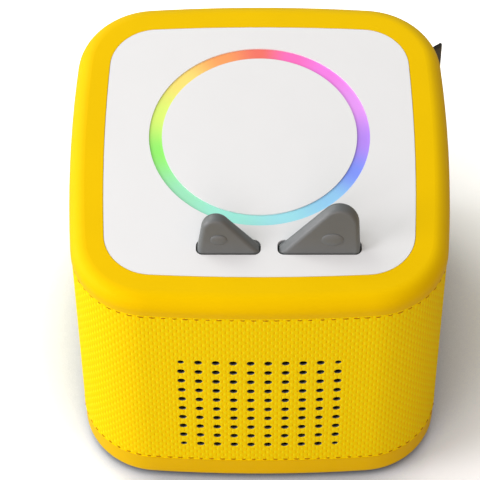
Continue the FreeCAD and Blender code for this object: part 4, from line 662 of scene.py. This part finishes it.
def make_sleeve():
    """The woven band with its punched holes, rolled hems and a closing seam.

    The cloth is backed with a grey layer, which shows in the walls of the holes."""
    columns = sleeve_columns()
    rows, first_row = sleeve_rows()
    wide, tall = len(columns), len(rows)
    points, places, faces, backing = [], [], [], []

    def add(along, z, depth):
        points.append(cloth_point(along, z, depth))
        places.append((along, z))
        return len(points) - 1

    def add_face(corners, hidden):
        faces.append(corners)
        backing.append(hidden)

    outer_grid, inner_grid = ([[add(along, z, depth) for z in rows] for along in columns]
                              for depth in (0.0, CLOTH_THICK))
    field_steps = HOLE_COUNT * CELL_STEPS
    for i in range(wide):
        following = (i + 1) % wide
        for j in range(tall - 1):
            if i < field_steps and first_row <= j < first_row + field_steps:
                continue
            for grid, hidden in ((outer_grid, False), (inner_grid, True)):
                quad = (grid[i][j], grid[following][j], grid[following][j + 1], grid[i][j + 1])
                add_face(quad[::-1] if hidden else quad, hidden)
        outer, outer_next = outer_grid[i], outer_grid[following]
        inner, inner_next = inner_grid[i], inner_grid[following]
        add_face((outer_next[0], outer[0], inner[0], inner_next[0]), False)
        add_face((outer[-1], outer_next[-1], inner_next[-1], inner[-1]), False)
    for column in range(HOLE_COUNT):
        for row in range(HOLE_COUNT):
            left, low = column * CELL_STEPS, first_row + row * CELL_STEPS
            radius = hole_radius(column, row)
            middle_x = HOLE_PITCH * (column - (HOLE_COUNT - 1) / 2)
            middle_z = FIELD_MIDDLE + HOLE_PITCH * (row - (HOLE_COUNT - 1) / 2)
            border = ([(left + n, low) for n in range(CELL_STEPS)]
                      + [(left + CELL_STEPS, low + n) for n in range(CELL_STEPS)]
                      + [(left + CELL_STEPS - n, low + CELL_STEPS) for n in range(CELL_STEPS)]
                      + [(left, low + CELL_STEPS - n) for n in range(CELL_STEPS)])
            angles = [math.atan2(rows[j] - middle_z, columns[i] - middle_x) for i, j in border]
            rings = [[add(middle_x + (radius + reach) * math.cos(angle),
                          middle_z + (radius + reach) * math.sin(angle), depth) for angle in angles]
                     for reach, depth in HOLE_EDGE]
            loops = ([[outer_grid[i][j] for i, j in border]] + rings
                     + [[inner_grid[i][j] for i, j in border]])
            for level, (near, far) in enumerate(zip(loops, loops[1:])):
                hidden = level >= len(HOLE_EDGE) - 1
                for n in range(len(border)):
                    following = (n + 1) % len(border)
                    add_face((near[n], near[following], far[following], far[n]), hidden)
    made = piece("sleeve_cloth", points, faces, MATERIALS["yellow_fabric"])
    made.data.materials.append(BACKING)
    made.data.polygons.foreach_set("material_index", [1 if hidden else 0 for hidden in backing])
    spots = made.data.attributes.new("cloth_place", "FLOAT_VECTOR", "CORNER")
    corner_places = []
    for corners in faces:
        alongs = [places[corner][0] for corner in corners]
        wrapped = max(alongs) - min(alongs) > outline.length / 2
        for corner in corners:
            along, z = places[corner]
            if wrapped and along < outline.length / 2:
                along += outline.length
            corner_places.append((along * MM, z * MM, 0.0))
    spots.data.foreach_set("vector", np.array(corner_places, np.float32).ravel())
    return made


THREAD_WIDE, THREAD_TALL = 0.30, 0.20
# Along a stitch: share of its half length, lift, and share of the thread's thickness.
STITCH_SHAPE = [(-1.0, -0.34, 0.6), (-0.86, -0.06, 0.95), (-0.5, 0.10, 1.0), (0.0, 0.15, 1.0),
                (0.5, 0.10, 1.0), (0.86, -0.06, 0.95), (1.0, -0.34, 0.6)]
STITCH_HALF = 1.05
STITCH_SLIP = 0.2
STITCH_SHARES = (0.62, 1.05)
STITCH_SLANT = 0.12
STITCH_SINKS = (0.12, 0.20)
STITCH_SEED = 7
SEAM_ROW_OUT, SEAM_ROW_END, SEAM_ROW_SINK = 1.9, 3.0, 0.05


def make_stitches():
    """The sewing thread along both hems and down both sides of the seam."""
    points, faces = [], []

    def sew(spots, across):
        made_points, made_faces = tube(spots, across, THREAD_WIDE, THREAD_TALL)
        offset = len(points)
        points.extend(made_points)
        faces.extend(tuple(offset + corner for corner in face) for face in made_faces)

    chance = random.Random(STITCH_SEED)
    number = round(outline.length / STITCH_PITCH)
    for level in (SLEEVE_LOW + STITCH_IN, SLEEVE_HIGH - STITCH_IN):
        for n in range(number):
            middle = outline.length * (n + 0.5) / number + chance.uniform(-STITCH_SLIP, STITCH_SLIP)
            length = STITCH_HALF * chance.uniform(*STITCH_SHARES)
            slant = chance.uniform(-STITCH_SLANT, STITCH_SLANT)
            sink = chance.uniform(*STITCH_SINKS)
            spots = []
            for share, lift, size in STITCH_SHAPE:
                (x, y), out = outline.at(middle + share * length)
                push = lift - sink
                spots.append(((x + out[0] * push, y + out[1] * push, level + slant * share),
                              (out[0], out[1], 0.0), size))
            sew(spots, (0, 0, 1))
    seam_stitches = round((SLEEVE_HIGH - SLEEVE_LOW - 2 * SEAM_ROW_END) / STITCH_PITCH)
    for side in (-SEAM_ROW_OUT, SEAM_ROW_OUT):
        (x, y), out = outline.at(SEAM + side)
        for n in range(seam_stitches):
            middle = SLEEVE_LOW + SEAM_ROW_END + STITCH_PITCH * (n + 0.5)
            spots = []
            for share, lift, size in STITCH_SHAPE:
                push = lift - SEAM_ROW_SINK
                spots.append(((x + out[0] * push, y + out[1] * push, middle + share * STITCH_HALF),
                              (out[0], out[1], 0.0), size))
            sew(spots, (-out[1], out[0], 0))
    return piece("sleeve_stitches", points, faces, THREAD_WITH_PAINTED_SHADE)


FOAM_CLEAR = 0.1
FOAM_THICK = 2.5
FOAM_STEP = 2.0
FOAM_WINDOW_HALF = 29.0
FOAM_SOFT_BAND, FOAM_SOFT = 2.0, 0.35


def make_foam():
    """The foam under the cloth: soft edges, open in front of the loudspeaker."""
    low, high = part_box("foam_sleeve")
    low, high = low.z / MM, high.z / MM
    window = FOAM_WINDOW_HALF
    shape = Outline(SLEEVE_INSET + CLOTH_THICK + FOAM_CLEAR)
    window_columns = steps_between(-window, window, FOAM_STEP)
    columns = window_columns + steps_between(window, shape.length - window, FOAM_STEP)
    bottom, top = FIELD_MIDDLE - window, FIELD_MIDDLE + window
    rows = (steps_between(low, bottom, FOAM_STEP) + steps_between(bottom, top, FOAM_STEP)
            + steps_between(top, high, FOAM_STEP) + [high])
    wide, tall = len(columns), len(rows)
    points, faces = [], []
    grids = []
    for depth in (0.0, FOAM_THICK):
        grid = []
        for along in columns:
            (x, y), out = shape.at(along)
            line = []
            for z in rows:
                edge = min(z - low, high - z)
                soft = FOAM_SOFT * max(0.0, 1 - edge / FOAM_SOFT_BAND) ** 2
                push = -soft if depth == 0.0 else -depth + soft
                points.append((x + out[0] * push, y + out[1] * push, z))
                line.append(len(points) - 1)
            grid.append(line)
        grids.append(grid)

    def open_at(i, j):
        return i % wide < len(window_columns) and bottom - 1e-6 <= rows[j] < top - 1e-6

    for i in range(wide):
        following = (i + 1) % wide
        for j in range(tall - 1):
            if open_at(i, j):
                continue
            outer = (grids[0][i][j], grids[0][following][j], grids[0][following][j + 1], grids[0][i][j + 1])
            inner = (grids[1][i][j], grids[1][following][j], grids[1][following][j + 1], grids[1][i][j + 1])
            faces.append(outer)
            faces.append(inner[::-1])
            if j == 0:
                faces.append((outer[1], outer[0], inner[0], inner[1]))
            if j == tall - 2:
                faces.append((outer[3], outer[2], inner[2], inner[3]))
            if open_at(i - 1, j):
                faces.append((outer[0], outer[3], inner[3], inner[0]))
            if open_at(i + 1, j):
                faces.append((outer[2], outer[1], inner[1], inner[2]))
            if j > 0 and open_at(i, j - 1):
                faces.append((outer[1], outer[0], inner[0], inner[1]))
            if j < tall - 2 and open_at(i, j + 1):
                faces.append((outer[3], outer[2], inner[2], inner[3]))
    return piece("sleeve_foam", points, faces, MATERIALS["foam"])


sleeve = make_sleeve()
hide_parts("fabric_sleeve")
stitches = make_stitches()
foam = make_foam()
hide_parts("foam_sleeve")


# ---------------------------------------------------------------- the pull tab

TAB_LEAN = 34.5
TAB_LENGTH = 7.9
TAB_THICK = 1.1
TAB_TOP = 92.0
TAB_HEIGHT = 19.0
TAB_ROOT = -0.5
TAB_LAYER = 0.5
TAB_PINCH = 0.72
TAB_SHARES = (0.0, 0.25, 0.5, 0.75, 1.0)
FOLD_STEPS = 8
TAB_STEPS = 14
TAB_EDGE_NEAR, TAB_EDGE = 0.15, 0.4
TAB_EDGE_THIN = 0.35


def tab_path():
    """The ribbon's middle line seen from above: out, round the fold and back, as (reach, across)."""
    middle = TAB_THICK / 2 - TAB_LAYER / 2
    fold = TAB_LENGTH - TAB_THICK / 2
    leg = [(TAB_ROOT + (fold - TAB_ROOT) * share, middle * (TAB_PINCH + (1 - TAB_PINCH) * share))
           for share in TAB_SHARES]
    path = [(reach, -spread) for reach, spread in leg]
    for n in range(1, FOLD_STEPS):
        angle = -math.pi / 2 + math.pi * n / FOLD_STEPS
        path.append((fold + math.cos(angle) * middle, math.sin(angle) * middle))
    return path + leg[::-1]


def make_tab():
    """A ribbon folded once and sewn into the seam."""
    lean = math.radians(TAB_LEAN)
    along = (math.cos(lean), math.sin(lean))
    aside = (-math.sin(lean), math.cos(lean))
    x, y = outline.at(SEAM)[0]
    path = tab_path()
    inside = TAB_HEIGHT - 2 * TAB_EDGE
    levels = [0.0, TAB_EDGE_NEAR, TAB_EDGE]
    levels += [TAB_EDGE + inside * n / TAB_STEPS for n in range(1, TAB_STEPS)]
    levels += [TAB_HEIGHT - TAB_EDGE, TAB_HEIGHT - TAB_EDGE_NEAR, TAB_HEIGHT]
    points, faces = [], []
    count = len(path)
    for side in (-1, 1):
        for level in levels:
            edge = min(level, TAB_HEIGHT - level)
            thin = 1 - TAB_EDGE_THIN * max(0.0, 1 - edge / TAB_EDGE)
            for n, (reach, across) in enumerate(path):
                before = path[max(n - 1, 0)]
                after = path[min(n + 1, count - 1)]
                slope = Vector((after[0] - before[0], after[1] - before[1])).normalized()
                normal = (slope.y, -slope.x)
                push = side * TAB_LAYER / 2 * thin
                u, v = reach + normal[0] * push, across + normal[1] * push
                points.append((x + along[0] * u + aside[0] * v, y + along[1] * u + aside[1] * v,
                               TAB_TOP - TAB_HEIGHT + level))
    grid = len(levels) * count
    for row in range(len(levels) - 1):
        for n in range(count - 1):
            a = row * count + n
            inner = (a, a + 1, a + 1 + count, a + count)
            faces.append(inner[::-1])
            faces.append(tuple(grid + corner for corner in inner))
    for row, flip in ((0, False), (len(levels) - 1, True)):
        for n in range(count - 1):
            a = row * count + n
            quad = (a, a + 1, grid + a + 1, grid + a)
            faces.append(quad[::-1] if flip else quad)
    for n, flip in ((0, True), (count - 1, False)):
        for row in range(len(levels) - 1):
            a = row * count + n
            quad = (a, a + count, grid + a + count, grid + a)
            faces.append(quad if flip else quad[::-1])
    return piece("ribbon_tab", points, faces, MATERIALS["grey_ribbon"])


tab = make_tab()
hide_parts("pull_tab")
